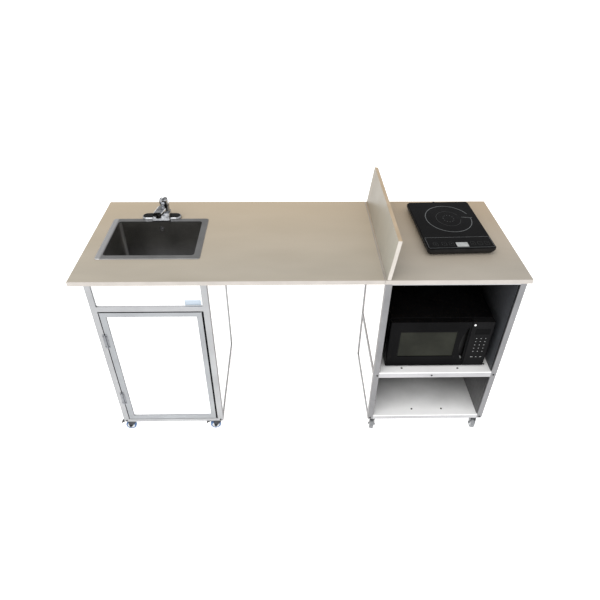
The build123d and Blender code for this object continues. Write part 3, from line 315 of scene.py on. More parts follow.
board = laminate("laminate", ((161, 153, 139), (172, 164, 150)), (184, 165, 137))
board_right = laminate("laminate_right", ((156, 149, 138), (168, 161, 150)), (172, 148, 116))
board_screen = laminate("laminate_screen", ((160, 158, 148), (172, 168, 156)), (128, 114, 92))
core = surface(
    "board_core", ((140, 112, 82), (176, 148, 114)), (0.75, 0.95), grain=420.0, relief=0.0006,
    spec=0.2, cloud=60.0,
)
band = surface(
    "edge_band", ((175, 169, 163), (190, 184, 178)), (0.3, 0.48), cloud=9.0, grain=1400.0,
    wear=((176, 164, 148), 0.3),
)
screen_band = surface(
    "screen_band", ((186, 180, 172), (200, 194, 187)), (0.32, 0.5), cloud=12.0, grain=1400.0,
)
screen_top = surface(
    "screen_top", ((168, 148, 120), (186, 166, 140)), (0.35, 0.5), cloud=12.0, grain=1200.0,
)
aluminium = [
    metal_grain(f"aluminium_{a}", ((156, 157, 159), (174, 175, 177), (122, 122, 124)), (0.34, 0.5), i)
    for i, a in enumerate("xyz")
]
aluminium_door = [
    metal_grain(f"aluminium_door_{a}", ((146, 148, 151), (164, 167, 170), (116, 118, 120)), (0.34, 0.5), i)
    for i, a in enumerate("xyz")
]
# Painted shade: the open base's aluminium is a darker copy of the sink base's. It is lightest on the level
# rails along x, darker on the tubes along y, and darkest on the uprights.
OPEN_SHADED_TONES = (
    ((170, 170, 172), (190, 190, 192), (128, 128, 130)),
    ((140, 140, 142), (160, 160, 162), (108, 108, 110)),
    ((124, 124, 126), (142, 142, 144), (96, 96, 98)),
)
aluminium_open_shaded = [
    metal_grain(f"aluminium_open_shaded_{a}", tones, (0.36, 0.52), i)
    for i, (a, tones) in enumerate(zip("xyz", OPEN_SHADED_TONES))
]
# Painted shade: a darker copy of the aluminium for the tube sides that face right.
aluminium_right_shade = metal_grain(
    "aluminium_right_shade", ((92, 93, 95), (112, 113, 115), (70, 70, 72)), (0.4, 0.55), Z_AXIS
)
white_sheet = surface(
    "white_sheet", ((249, 250, 251), (253, 254, 254)), (0.3, 0.5), cloud=3.0, grain=900.0,
    wear=((228, 228, 227), 0.2),
)
white_sheet.glow(0.2)
# Painted shade: a grey copy of the white sheet for the inner face of the open base's back.
back_sheet_shade = surface(
    "back_sheet_shade", ((196, 196, 196), (212, 212, 212)), (0.4, 0.6), cloud=3.0, grain=900.0,
)
white_shelf = surface(
    "white_shelf", ((240, 240, 240), (250, 250, 250)), (0.28, 0.46), cloud=7.0, grain=700.0,
    wear=((196, 196, 194), 0.4),
)
# Painted shade: the bottom shelf's white turns grey towards the back, under the mid shelf.
white_shelf_low_shade = liner("white_shelf_low_shade", (118, 118, 118), (240, 240, 240), "Y", -300, -70, 0.35)
# Black lining of the upper space, with painted shade: darker towards the top, under the worktop.
black_liner = liner("black_liner", (9, 9, 9), (24, 24, 25), "Z", 403, 640, 0.2)
# The right side of the black lining carries a painted blue-grey reflection, lightest towards the front.
black_liner_right_sheen = liner("black_liner_right_sheen", (7, 7, 8), (66, 68, 72), "Y", -310, 60, 0.2)
# Grey lining of the lower space, with painted shade: darker towards the top, under the mid shelf.
grey_liner = liner("grey_liner", (46, 46, 47), (96, 96, 96), "Z", 104, 372, 0.2)
black_paint = surface(
    "black_screw", ((16, 16, 16), (34, 34, 35)), (0.4, 0.6), cloud=200.0, grain=2400.0,
    wear=((96, 94, 92), 0.4),
)
hinge_steel = metal_grain(
    "hinge_steel", ((150, 152, 156), (184, 186, 190), (112, 112, 114)), (0.3, 0.48), Z_AXIS
)
hinge_grey = metal_grain(
    "hinge_grey", ((122, 124, 128), (150, 152, 156), (92, 92, 94)), (0.3, 0.48), Z_AXIS
)
catch_plastic = surface(
    "black_catch", ((6, 6, 6), (14, 14, 14)), (0.6, 0.8), spec=0.05, cloud=120.0, grain=1500.0,
    relief=0.0001,
)
stainless = basin_steel("stainless", (162, 162, 162), (176, 174, 169), (138, 138, 140))
# Painted highlight: a lighter copy of the steel for the rounded back-left corner of the bowl.
basin_corner_highlight = basin_steel(
    "stainless_corner_highlight", (162, 162, 162), (228, 226, 222), (190, 190, 190)
)
strainer_steel = metal_grain(
    "strainer_steel", ((120, 121, 122), (160, 161, 162), (84, 84, 84)), (0.25, 0.4), spots=0.3,
)
strainer_dark = metal_grain(
    "strainer_dark", ((74, 74, 75), (104, 104, 105), (56, 56, 56)), (0.3, 0.45), spots=0.3,
)
# Painted reflection: a dark copy of the chrome for the level tops at the ends of the tap's base plate.
chrome_dark_reflection = surface(
    "chrome_dark_reflection", ((26, 26, 27), (44, 44, 46)), (0.08, 0.18), metal=1.0, cloud=60.0, grain=300.0,
    relief=0.00001, wear=((90, 92, 94), 0.35),
)
chrome = surface(
    "chrome", ((112, 113, 116), (206, 208, 212)), (0.05, 0.14), metal=1.0, cloud=60.0, grain=300.0,
    relief=0.00001, wear=((150, 152, 156), 0.35),
)
brass = metal_grain(
    "brass_fitting", ((170, 140, 78), (204, 176, 112), (110, 88, 46)), (0.28, 0.44), Z_AXIS, spots=0.3,
)
tank_white = clear_plastic("tank_plastic", (232, 236, 238), (0.34, 0.5), 0.25)
tank_cap = surface(
    "tank_cap", ((34, 68, 128), (44, 82, 146)), (0.35, 0.5), cloud=60.0, grain=900.0, relief=0.0001,
)
pump_paint = surface(
    "pump_black", ((20, 20, 22), (38, 38, 40)), (0.4, 0.6), cloud=50.0, grain=900.0, relief=0.0002,
    wear=((86, 86, 88), 0.3),
)
clear_hose = clear_plastic("clear_hose", (214, 222, 226), (0.12, 0.24), 0.7)
white_hose = surface(
    "white_hose", ((206, 208, 208), (228, 230, 230)), (0.45, 0.6), cloud=40.0, grain=800.0, relief=0.0001,
)
zinc_dark = metal_grain(
    "zinc", ((50, 51, 54), (88, 90, 94), (36, 36, 38)), (0.28, 0.46), spots=0.25,
)
zinc_light = metal_grain(
    "zinc_light", ((104, 105, 107), (140, 141, 143), (76, 76, 78)), (0.28, 0.44), spots=0.2,
)
tread_blue = surface(
    "tread_blue", ((58, 92, 138), (88, 124, 168)), (0.5, 0.7), cloud=70.0, grain=1200.0, relief=0.0002,
    wear=((84, 84, 86), 0.5),
)
tread_grey = surface(
    "tread_grey", ((112, 114, 118), (146, 148, 150)), (0.5, 0.7), cloud=70.0, grain=1200.0, relief=0.0002,
    wear=((100, 100, 100), 0.45),
)
hub_white = surface(
    "hub_white", ((206, 208, 210), (228, 230, 231)), (0.38, 0.54), cloud=90.0, grain=1500.0,
    wear=((150, 150, 150), 0.4),
)
oven_case = surface(
    "oven_case", ((24, 24, 25), (34, 34, 35)), (0.2, 0.34), spec=0.06, cloud=8.0, grain=1600.0,
    wear=((40, 40, 42), 0.3),
)
oven_front = surface(
    "oven_front", ((9, 9, 10), (14, 14, 15)), (0.16, 0.3), spec=0.03, cloud=9.0, grain=1500.0,
    relief=0.00002, wear=((48, 48, 50), 0.2),
)
oven_panel = surface(
    "oven_panel", ((15, 15, 16), (21, 21, 22)), (0.26, 0.4), spec=0.04, cloud=12.0, grain=1500.0,
    relief=0.00003,
)
# Painted shade: a darker copy of the case's black for the case's top.
oven_top_shade = surface(
    "oven_top_shade", ((8, 8, 9), (14, 14, 15)), (0.2, 0.34), spec=0.06, cloud=8.0, grain=1600.0,
    wear=((34, 34, 36), 0.3),
)
# Painted shade: near black inside the door's finger pocket.
pocket_shade = surface(
    "pocket_shade", ((3, 3, 3), (7, 7, 7)), (0.4, 0.55), spec=0.2, cloud=40.0, grain=1500.0,
)
cavity_grey = surface(
    "cavity_grey", ((96, 96, 94), (120, 120, 118)), (0.4, 0.55), cloud=14.0, grain=1100.0, relief=0.0001,
)
turntable_glass = clear_plastic("turntable_glass", (216, 226, 226), (0.04, 0.1), 0.9, 1.5)
hob_plastic = surface(
    "hob_plastic", ((28, 27, 27), (38, 37, 37)), (0.42, 0.6), spec=0.12, cloud=20.0, grain=1500.0,
    relief=0.00012, wear=((62, 62, 62), 0.25),
)
hob_glass = surface(
    "hob_glass", ((8, 8, 9), (13, 13, 14)), (0.16, 0.28), spec=0.06, cloud=10.0, grain=1400.0,
    relief=0.00001, wear=((54, 54, 55), 0.25),
)
rubber = surface(
    "rubber", ((18, 18, 18), (30, 30, 30)), (0.62, 0.8), spec=0.25, cloud=90.0, grain=1300.0, relief=0.0002,
)
mark_grey = surface(
    "mark_grey", ((78, 80, 82), (96, 98, 100)), (0.3, 0.45), cloud=40.0, grain=1500.0, relief=0.00001,
)
mark_dim = surface(
    "mark_dim", ((30, 31, 32), (38, 39, 40)), (0.25, 0.4), cloud=40.0, grain=1500.0, relief=0.00001,
)
mark_light = surface(
    "mark_light", ((126, 128, 128), (156, 158, 158)), (0.4, 0.55), cloud=90.0, grain=1500.0, relief=0.00001,
)
mark_white = surface(
    "mark_white", ((240, 240, 240), (250, 250, 250)), (0.35, 0.5), cloud=90.0, grain=1500.0,
)
# The grey of the displays, also used for the painted highlight in the oven's finger pocket.
lcd_and_highlight_grey = surface(
    "lcd_and_highlight_grey", ((150, 152, 152), (178, 180, 180)), (0.15, 0.3), cloud=30.0, grain=900.0, relief=0.00001,
)
label_metal = metal_grain(
    "label_metal", ((162, 174, 186), (182, 193, 204), (134, 146, 160)), (0.3, 0.44), X_AXIS,
)


def smoked_window(name):
    """Smoked oven glass with the dot screen of the metal sheet behind it."""
    s = Surface(name, 0.0, 0.06)
    clouds = s.noise(9.0, 3.0)
    olive = s.ramp(clouds, [(0.35, linear((34, 35, 30))), (0.65, linear((44, 45, 39)))])
    cells = s.add("ShaderNodeTexVoronoi")
    cells.inputs["Scale"].default_value = 420.0
    cells.inputs["Randomness"].default_value = 0.0
    s.link(s.place, cells.inputs["Vector"])
    dots = s.span(cells.outputs["Distance"], 0.28, 0.4, 0.55, 0.0)
    s.colour(s.mix(dots, olive, linear((30, 31, 26))))
    s.rough(clouds, 0.12, 0.22)
    s.bump(clouds, 0.1, 0.0001)
    return s


window_glass = smoked_window("oven_window")


# --- Materials on the CAD nodes --------------------------------------------------------


def dress(name, *surfaces):
    """Gives a CAD node its materials; the first one is on every face to start with."""
    mesh = nodes[name].data
    mesh.materials.clear()
    for s in surfaces:
        mesh.materials.append(s.mat)
    for polygon in mesh.polygons:
        polygon.material_index = 0
    return mesh


def dress_by(name, surfaces, pick):
    """Gives each face of a CAD node the surface whose number pick(centre, normal) says."""
    mesh = dress(name, *surfaces)
    for polygon in mesh.polygons:
        polygon.material_index = pick(polygon.center / MM, polygon.normal)


def dress_tubes(name, surfaces):
    """Drawn grain along each tube: a long thin face lies along its tube's axis.

    A fourth surface, if there is one, is painted shade for the sides that face right, away from the light.
    """
    mesh = dress(name, *surfaces)
    for polygon in mesh.polygons:
        corners = [mesh.vertices[i].co for i in polygon.vertices]
        extent = [max(c[k] for c in corners) - min(c[k] for c in corners) for k in range(3)]
        polygon.material_index = extent.index(max(extent))
        if len(surfaces) > 3 and polygon.normal.x > 0.7:
            polygon.material_index = 3


def corners_mm(name):
    """The two corners of a CAD node's box, in millimetres."""
    low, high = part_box(name)
    return low / MM, high / MM


CASE_LOW, CASE_HIGH = corners_mm("microwave_case")
PANEL_LOW = corners_mm("microwave_control_panel")[0]
WINDOW_LOW, WINDOW_HIGH = corners_mm("microwave_window")
OVEN_FRONT_Y = PANEL_LOW.y
GRIP_RIGHT = PANEL_LOW.x - 9.0

for board_node, face in (("worktop_left", board), ("worktop_right", board_right)):
    dress_by(board_node, (face, core), lambda c, n: 0 if n.z > 0.5 else 1)
dress("worktop_edge_band", band)
dress_by(
    "splash_screen",
    (board_screen, screen_band, screen_top),
    lambda c, n: 1 if abs(n.y) > 0.6 else (2 if n.z > 0.6 else 0),
)
dress_tubes("sink_base_frame", [*aluminium, aluminium_right_shade])
dress_tubes("door_frame", [*aluminium_door, aluminium_right_shade])
dress_tubes("open_base_frame", aluminium_open_shaded)
for name in ("sink_base_panels", "door_panel"):
    dress(name, white_sheet)
dress_by(
    "open_base_panels",
    (white_sheet, back_sheet_shade),
    lambda c, n: 1 if n.y < -0.7 and c.y > 80 else 0,
)
dress("sink_base_floor", white_shelf)
dress("mid_shelf", white_shelf)
dress("bottom_shelf", white_shelf_low_shade)
dress_by(
    "upper_liners",
    (black_liner, black_liner_right_sheen),
    lambda c, n: 1 if n.x < -0.7 and c.x > 800 else 0,
)
dress("lower_liners", grey_liner)
dress("frame_screws", black_paint)
for name in ("door_hinge_bases", "door_hinge_leaves"):
    dress(name, hinge_grey)
for name in ("splash_hinge_bases", "splash_hinge_leaves"):
    dress(name, hinge_steel)
dress("door_catches", catch_plastic)
dress_by(
    "sink_basin",
    (stainless, basin_corner_highlight),
    lambda c, n: 1 if min(abs(n.x), abs(n.y)) > 0.2 and c.x < -800 and c.y > 110 else 0,
)
dress("strainer_basket", strainer_steel)
dress_by(
    "drain_fittings", (strainer_steel, white_hose), lambda c, n: 0 if c.z > BOWL_FLOOR - 2 else 1
)
for name in ("faucet_hub", "faucet_lever"):
    dress(name, chrome)
dress_by(
    "faucet_body",
    (chrome, chrome_dark_reflection),
    lambda c, n: 1 if n.z > 0.9 and c.z < TOP_HEIGHT + 18 and abs(c.x - BASIN_MID_X) > 40 else 0,
)
dress_by("faucet_shanks", (brass, rubber), lambda c, n: 1 if c.z > TOP_HEIGHT - 0.5 else 0)
dress_by("fresh_water_tank", (tank_white, tank_cap), lambda c, n: 1 if c.z > 464.5 else 0)
dress_by("waste_water_tank", (tank_white, pump_paint), lambda c, n: 1 if c.z > 484.5 else 0)
dress("water_pump", pump_paint)
dress("supply_hoses", clear_hose)
dress("drain_hose", white_hose)
dress("caster_plates", zinc_light)

TREAD_R = 20.5
for base in ("sink", "open"):
    for where in ("front_left", "front_right", "rear_left", "rear_right"):
        caster = f"{base}_{where}"
        front = base == "sink" and "front" in where
        dress(f"caster_fork_{caster}", zinc_dark if base == "sink" else zinc_light)
        low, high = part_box(f"caster_wheel_{caster}")
        axle = (low + high) / 2 / MM
        tread = tread_blue if front else tread_grey
        wheel = dress(f"caster_wheel_{caster}", hub_white, tread)
        for polygon in wheel.polygons:
            reach = max((wheel.vertices[i].co / MM - axle).length for i in polygon.vertices)
            polygon.material_index = 1 if reach > TREAD_R else 0
        if front:
            dress(f"brake_pedal_{caster}", pump_paint)


def is_in_cavity(c):
    """Whether a face of the oven case lies inside the cooking space."""
    inside_x = CASE_LOW.x + 15 < c.x < CASE_LOW.x + 327
    inside_z = CASE_LOW.z + 25 < c.z < CASE_HIGH.z - 23
    return inside_x and inside_z and c.y < CASE_HIGH.y - 28


def is_in_pocket(c):
    """Whether a face of the oven door lies inside the finger pocket."""
    inside_x = GRIP_RIGHT - 29 < c.x < GRIP_RIGHT + 1
    return inside_x and OVEN_FRONT_Y + 0.2 < c.y < OVEN_FRONT_Y + 21 and abs(c.z - 542) < 104


dress_by(
    "microwave_case",
    (oven_case, cavity_grey, oven_top_shade),
    lambda c, n: 1 if is_in_cavity(c) else (2 if n.z > 0.7 else 0),
)
dress("microwave_control_panel", oven_panel)
dress_by(
    "microwave_door",
    (oven_front, pocket_shade),
    lambda c, n: 1 if is_in_pocket(c) else 0,
)
dress("microwave_window", window_glass)
dress("turntable", turntable_glass)
dress("cooktop_body", hob_plastic)
dress("cooktop_glass", hob_glass)
dress("appliance_rubber", rubber)


# --- Pieces made here ------------------------------------------------------------------


def finish_piece(name, bm, s, body, bevel=0.0, smooth=False):
    """Turns a bmesh in millimetres into a piece that rides on a body."""
    mesh = bpy.data.meshes.new(name)
    bmesh.ops.recalc_face_normals(bm, faces=bm.faces)
    bm.to_mesh(mesh)
    bm.free()
    mesh.transform(Matrix.Scale(MM, 4))
    mesh.materials.append(s.mat)
    piece = bpy.data.objects.new(name, mesh)
    bpy.context.scene.collection.objects.link(piece)
    if bevel:
        rounding = piece.modifiers.new("rounding", "BEVEL")
        rounding.width = bevel * MM
        rounding.segments = 2
        rounding.limit_method = "ANGLE"
    if smooth:
        for polygon in mesh.polygons:
            polygon.use_smooth = True
    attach(piece, body)
    return piece


def add_prism(bm, outline, depth, place=Matrix()):
    """Adds a closed prism: a 2D outline at z = 0, raised by depth, put in place."""
    low = [bm.verts.new(place @ Vector((x, y, 0))) for x, y in outline]
    high = [bm.verts.new(place @ Vector((x, y, depth))) for x, y in outline]
    bm.faces.new(low[::-1])
    bm.faces.new(high)
    count = len(outline)
    for i in range(count):
        j = (i + 1) % count
        bm.faces.new((low[i], low[j], high[j], high[i]))


def rounded(w, h, r, steps=4):
    """Outline of a rectangle about the origin with rounded corners."""
    points = []
    for cx, cy, start in (
        (w / 2 - r, h / 2 - r, 0),
        (r - w / 2, h / 2 - r, 90),
        (r - w / 2, r - h / 2, 180),
        (w / 2 - r, r - h / 2, 270),
    ):
        for k in range(steps + 1):
            a = math.radians(start + 90 * k / steps)
            points.append((cx + r * math.cos(a), cy + r * math.sin(a)))
    return points


def circle(r, z, steps):
    """Points of a level circle about the Z axis."""
    turns = [2 * math.pi * k / steps for k in range(steps)]
    return [Vector((r * math.cos(t), r * math.sin(t), z)) for t in turns]


def facing(direction, at):
    """A place for a prism: its height points along direction, its x stays level."""
    out = Vector(direction).normalized()
    side = Vector((0, 0, 1)).cross(out)
    side = Vector((1, 0, 0)) if side.length < 1e-6 else side.normalized()
    up = out.cross(side)
    place = Matrix((side, up, out)).transposed().to_4x4()
    place.translation = Vector(at)
    return place


def add_band(bm, path, width, height, place, closed):
    """Adds a flat raised line of a width along a 2D path."""
    count = len(path)
    rows = []
    for i, (x, y) in enumerate(path):
        before = path[i - 1] if i or closed else path[i]
        after = path[(i + 1) % count] if i + 1 < count or closed else path[i]
        along = Vector((after[0] - before[0], after[1] - before[1])).normalized()
        side = Vector((-along.y, along.x)) * width / 2
        row = []
        for sign, z in ((-1, 0), (1, 0), (1, height), (-1, height)):
            row.append(bm.verts.new(place @ Vector((x + sign * side.x, y + sign * side.y, z))))
        rows.append(row)
    last = count if closed else count - 1
    for i in range(last):
        a, b = rows[i], rows[(i + 1) % count]
        for k in range(4):
            m = (k + 1) % 4
            bm.faces.new((a[k], b[k], b[m], a[m]))
    if not closed:
        bm.faces.new(rows[0][::-1])
        bm.faces.new(rows[-1])


def add_turned(bm, profile, place, steps=28):
    """Adds a closed turned solid: (radius, height) points about the place's Z axis."""
    rings = []
    for r, z in profile:
        if r < 1e-6:
            rings.append([bm.verts.new(place @ Vector((0, 0, z)))])
            continue
        rings.append([bm.verts.new(place @ point) for point in circle(r, z, steps)])
    pairs = list(zip(rings, rings[1:]))
    if profile[0][0] > 1e-6:
        pairs.append((rings[-1], rings[0]))
    for a, b in pairs:
        for k in range(steps):
            m = (k + 1) % steps
            corners = [a[k % len(a)], a[m % len(a)], b[m % len(b)], b[k % len(b)]]
            unique = []
            for v in corners:
                if v not in unique:
                    unique.append(v)
            if len(unique) > 2:
                bm.faces.new(unique)


FRONT = (0, -1, 0)
BACK = (0, 1, 0)
UP = (0, 0, 1)
RIGHT = (1, 0, 0)

# Blank label plate on the fascia strip, held by two small rivets.
PLATE_AT = (-441.0, -314.0, 814.0)
bm = bmesh.new()
add_prism(bm, rounded(66, 26, 2.5), 0.9, facing(FRONT, PLATE_AT))
finish_piece("label_plate", bm, label_metal, "root", bevel=0.25)
bm = bmesh.new()
for dx in (-29, 29):
    at = (PLATE_AT[0] + dx, PLATE_AT[1] - 0.9, PLATE_AT[2])
    add_turned(bm, [(0, 0), (1.7, 0), (1.5, 0.5), (0.8, 0.8), (0, 0.9)], facing(FRONT, at), 16)
finish_piece("label_rivets", bm, hinge_steel, "root", smooth=True)

DOOR_LOW, DOOR_HIGH = corners_mm("door_frame")

# Steel strike plates on the door's free edge, opposite the magnetic catches.
bm = bmesh.new()
for z in (DOOR_HIGH.z - 14.0, DOOR_LOW.z + 18.5):
    add_prism(bm, rounded(16, 22, 2), 0.5, facing(RIGHT, (-407.0, -309.0, z)))
finish_piece("door_strikes", bm, hinge_steel, "door")

# Black strips that stand for painted shadow in the gaps round the door. The base has them on the left and
# the top;
# the door has one along its free edge, and thin painted shadow lines on its front at that edge and at the
# top.
bm = bmesh.new()
z0, z1 = DOOR_LOW.z + 2, DOOR_HIGH.z - 2
at = (DOOR_LOW.x - 4.0, -309.0, (z0 + z1) / 2)
add_prism(bm, rounded(17, z1 - z0, 1.0), 2.4, facing(RIGHT, at))
at = ((DOOR_LOW.x + DOOR_HIGH.x) / 2, -309.0, DOOR_HIGH.z + 1.0)
width = DOOR_HIGH.x - DOOR_LOW.x - 4
add_prism(bm, rounded(width, 17, 1.0), 2.0, facing(UP, at))
finish_piece("door_gap_shade", bm, catch_plastic, "root")
bm = bmesh.new()
z0, z1 = DOOR_LOW.z + 33, DOOR_HIGH.z - 29
at = (DOOR_HIGH.x, -310.5, (z0 + z1) / 2)
add_prism(bm, rounded(22, z1 - z0, 1.0), 3.6, facing(RIGHT, at))
at = (DOOR_HIGH.x - 1.5, DOOR_LOW.y, (DOOR_LOW.z + DOOR_HIGH.z) / 2)
add_prism(bm, rounded(3.0, DOOR_HIGH.z - DOOR_LOW.z - 2, 0.6), 0.6, facing(FRONT, at))
at = ((DOOR_LOW.x + DOOR_HIGH.x) / 2 - 2, DOOR_LOW.y, DOOR_HIGH.z - 1.2)
add_prism(bm, rounded(DOOR_HIGH.x - DOOR_LOW.x - 8, 2.0, 0.6), 0.6, facing(FRONT, at))
finish_piece("door_edge_shade_lines", bm, catch_plastic, "door")


def screw_profile(r, h):
    """A low screw head with a small recess."""
    head = [(0, 0), (r, 0), (r * 0.92, h * 0.7), (r * 0.6, h)]
    recess = [(r * 0.3, h), (r * 0.25, h * 0.3), (0, h * 0.3)]
    return head + recess


# Screws in the two leaves of each door hinge.
DOOR_HINGE_Z = (250.0, 612.0)
POST_LEAF_X, DOOR_LEAF_X, DOOR_LEAF_Y = -837.2, -822.8, -323.5
fixed, moving = bmesh.new(), bmesh.new()
for hinge_z in DOOR_HINGE_Z:
    for dz in (-28, 28):
        for side, x in ((fixed, POST_LEAF_X), (moving, DOOR_LEAF_X)):
            at = (x, DOOR_LEAF_Y, hinge_z + dz)
            add_turned(side, screw_profile(2.2, 0.7), facing(FRONT, at), 18)
finish_piece("door_hinge_screws", fixed, zinc_dark, "root")
finish_piece("door_leaf_screws", moving, zinc_dark, "door")

# The screen's hinges: screws through the lower and the upper leaves.
LEAN = math.radians(7.1)
SCREEN_PIN = Vector((352.4, 0, TOP_HEIGHT + 3.4))
tilt = Matrix.Rotation(LEAN, 4, "Y")
upper_face = tilt @ Vector(RIGHT)
fixed, moving = bmesh.new(), bmesh.new()
for y in (-210.0, 210.0):
    for dy in (-20, 0, 20):
        add_turned(fixed, screw_profile(2.6, 0.7), facing(UP, (366.0, y + dy, TOP_HEIGHT + 1.5)), 18)
        at = SCREEN_PIN + tilt @ Vector((-1.9, y + dy, 15.0))
        add_turned(moving, screw_profile(2.6, 0.7), facing(upper_face, at), 18)
finish_piece("splash_hinge_screws", fixed, zinc_dark, "root")
finish_piece("splash_leaf_screws", moving, zinc_dark, "splash")

# Oven: display, keys and round button on the control panel.
KEYS_X = PANEL_LOW.x + 53.0
bm = bmesh.new()
add_prism(bm, rounded(66, 32, 3), 0.6, facing(FRONT, (KEYS_X, OVEN_FRONT_Y, 616.0)))
finish_piece("oven_display", bm, oven_front, "root", bevel=0.3)
bm = bmesh.new()
dot_profile = [(0, 0), (5.2, 0), (5.0, 1.0), (3.6, 1.5), (0, 1.6)]
dot_at = (PANEL_LOW.x + 11.0, OVEN_FRONT_Y, 655.0)
add_turned(bm, dot_profile, facing(FRONT, dot_at), 32)
finish_piece("oven_dot", bm, mark_white, "root", smooth=True)
keys, signs = bmesh.new(), bmesh.new()
KEY_STEP = 20.5
KEY_ROWS = (577.0, 558.5, 538.5, 518.5, 499.0)
LAST_ROW = 465.0
for z in KEY_ROWS:
    for dx in (-KEY_STEP, 0.0, KEY_STEP):
        add_prism(keys, rounded(17, 13, 2.5), 0.4, facing(FRONT, (KEYS_X + dx, OVEN_FRONT_Y, z)))
        at = (KEYS_X + dx, OVEN_FRONT_Y - 0.4, z)
        add_prism(signs, rounded(4.6, 3.4, 1.4), 0.12, facing(FRONT, at))
for dx, width in ((-KEY_STEP, 12.0), (0.0, 6.0), (KEY_STEP, 9.0)):
    add_prism(keys, rounded(18, 19, 3), 0.4, facing(FRONT, (KEYS_X + dx, OVEN_FRONT_Y, LAST_ROW)))
    at = (KEYS_X + dx, OVEN_FRONT_Y - 0.4, LAST_ROW)
    add_prism(signs, rounded(width, 3.0, 1.2), 0.12, facing(FRONT, at))
finish_piece("oven_keys", keys, oven_panel, "root", bevel=0.15)
finish_piece("oven_key_marks", signs, mark_light, "root")

# A thin trim line round the oven window, and a painted highlight, a light patch at the foot of the finger
# pocket.
bm = bmesh.new()
window_mid = (WINDOW_LOW + WINDOW_HIGH) / 2
window_size = WINDOW_HIGH - WINDOW_LOW
ring = rounded(window_size.x + 6, window_size.z + 6, 6)
at = (window_mid.x, OVEN_FRONT_Y, window_mid.z)
add_band(bm, ring, 1.6, 0.5, facing(FRONT, at), True)
finish_piece("oven_window_trim", bm, oven_panel, "oven_door")
bm = bmesh.new()
pocket_highlight_at = (GRIP_RIGHT - 6.0, OVEN_FRONT_Y + 12.0, 452.0)
add_prism(bm, rounded(9, 13, 4), 1.2, facing((0, -0.45, 0.9), pocket_highlight_at))
finish_piece("oven_pocket_highlight", bm, lcd_and_highlight_grey, "oven_door", bevel=0.3)

# Louvres pressed into the oven case's right side, and its rear vents.
bm = bmesh.new()
for row in range(3):
    for k in range(12):
        at = (CASE_HIGH.x, -130.0 + k * 12, 610.0 - row * 26)
        add_prism(bm, rounded(3.2, 18, 1.5), 0.7, facing(RIGHT, at))
for k in range(22):
    at = (CASE_LOW.x + 72 + k * 14, CASE_HIGH.y, 600.0)
    add_prism(bm, rounded(3.2, 60, 1.5), 0.7, facing(BACK, at))
finish_piece("oven_louvres", bm, oven_case, "root", bevel=0.3)

# Cooktop: everything on its glass is placed in its own turned frame.
HOB_AT = (664.0, 47.0, 968.0)
HOB = Matrix.Translation(HOB_AT) @ Matrix.Rotation(math.radians(2.0), 4, "Z")
RING_C = (9.0, 44.0)
RING_RX, RING_RY = 102.0, 116.0
LINE = 0.15


def ellipse_arc(cx, cy, rx, ry, start, end, steps=72):
    """Points along part of an ellipse, angles in degrees."""
    points = []
    for k in range(steps + 1):
        a = math.radians(start + (end - start) * k / steps)
        points.append((cx + rx * math.cos(a), cy + ry * math.sin(a)))
    return points


def box_path(cx, cy, w, h, r):
    return [(cx + x, cy + y) for x, y in rounded(w, h, r)]


bm = bmesh.new()
add_band(bm, ellipse_arc(*RING_C, RING_RX, RING_RY, 20, 362), 3.2, LINE, HOB, False)
add_band(bm, [(72.0, 55.0), (96.0, 51.0), (119.0, 47.0)], 3.2, LINE, HOB, False)
finish_piece("hob_ring", bm, mark_grey, "root")
bm = bmesh.new()
add_band(bm, ellipse_arc(*RING_C, 54, 65, 25, 350, 64), 1.6, LINE, HOB, False)
for a in range(0, 360, 30):
    t = math.radians(a)
    x, y = RING_C[0] + 24 * math.cos(t), RING_C[1] + 29 * math.sin(t)
    add_prism(bm, box_path(x, y, 5, 5, 1.5), LINE, HOB)
finish_piece("hob_inner_rings", bm, mark_dim, "root")
bm = bmesh.new()
add_band(bm, box_path(0.0, -157.0, 278.0, 82.0, 4.0), 1.6, LINE, HOB, True)
finish_piece("hob_control_line", bm, mark_grey, "root")
bm = bmesh.new()
KEY_Y = -167.0
for dx in (-105, -68, -37, 55, 85, 115):
    add_band(bm, box_path(dx, KEY_Y, 19, 26, 4), 1.0, LINE, HOB, True)
for dx, w in ((-105, 9), (-68, 3), (-37, 7), (55, 7), (85, 3), (115, 5)):
    add_prism(bm, [(dx + x, KEY_Y + y) for x, y in rounded(w, 3, 1.2)], LINE, HOB)
finish_piece("hob_touch_keys", bm, mark_dim, "root")
bm = bmesh.new()
add_prism(bm, box_path(7.0, -175.0, 50.0, 34.0, 2.0), 0.3, HOB)
finish_piece("hob_display", bm, lcd_and_highlight_grey, "root", bevel=0.1)

# Vent slots along the cooktop's back edge, with a space for the cord gland.
bm = bmesh.new()
for k in range(17):
    x = -104.0 + k * 13
    if abs(x + 12.0) > 12:
        at = HOB @ Vector((x, 205.0, -10.0))
        add_prism(bm, rounded(5, 8, 2), 0.5, facing(HOB.to_3x3() @ Vector(BACK), at))
finish_piece("hob_vents", bm, rubber, "root")

# Ring round the basin's overflow hole.
bm = bmesh.new()
add_turned(
    bm,
    [(9.2, 0), (11.6, 0), (11.6, 0.5), (11.0, 1.2), (10.0, 1.3), (9.2, 0.7)],
    facing(FRONT, (BASIN_MID_X, 134.0, 896.0)),
    40,
)
finish_piece("overflow_ring", bm, strainer_dark, "root", smooth=True)

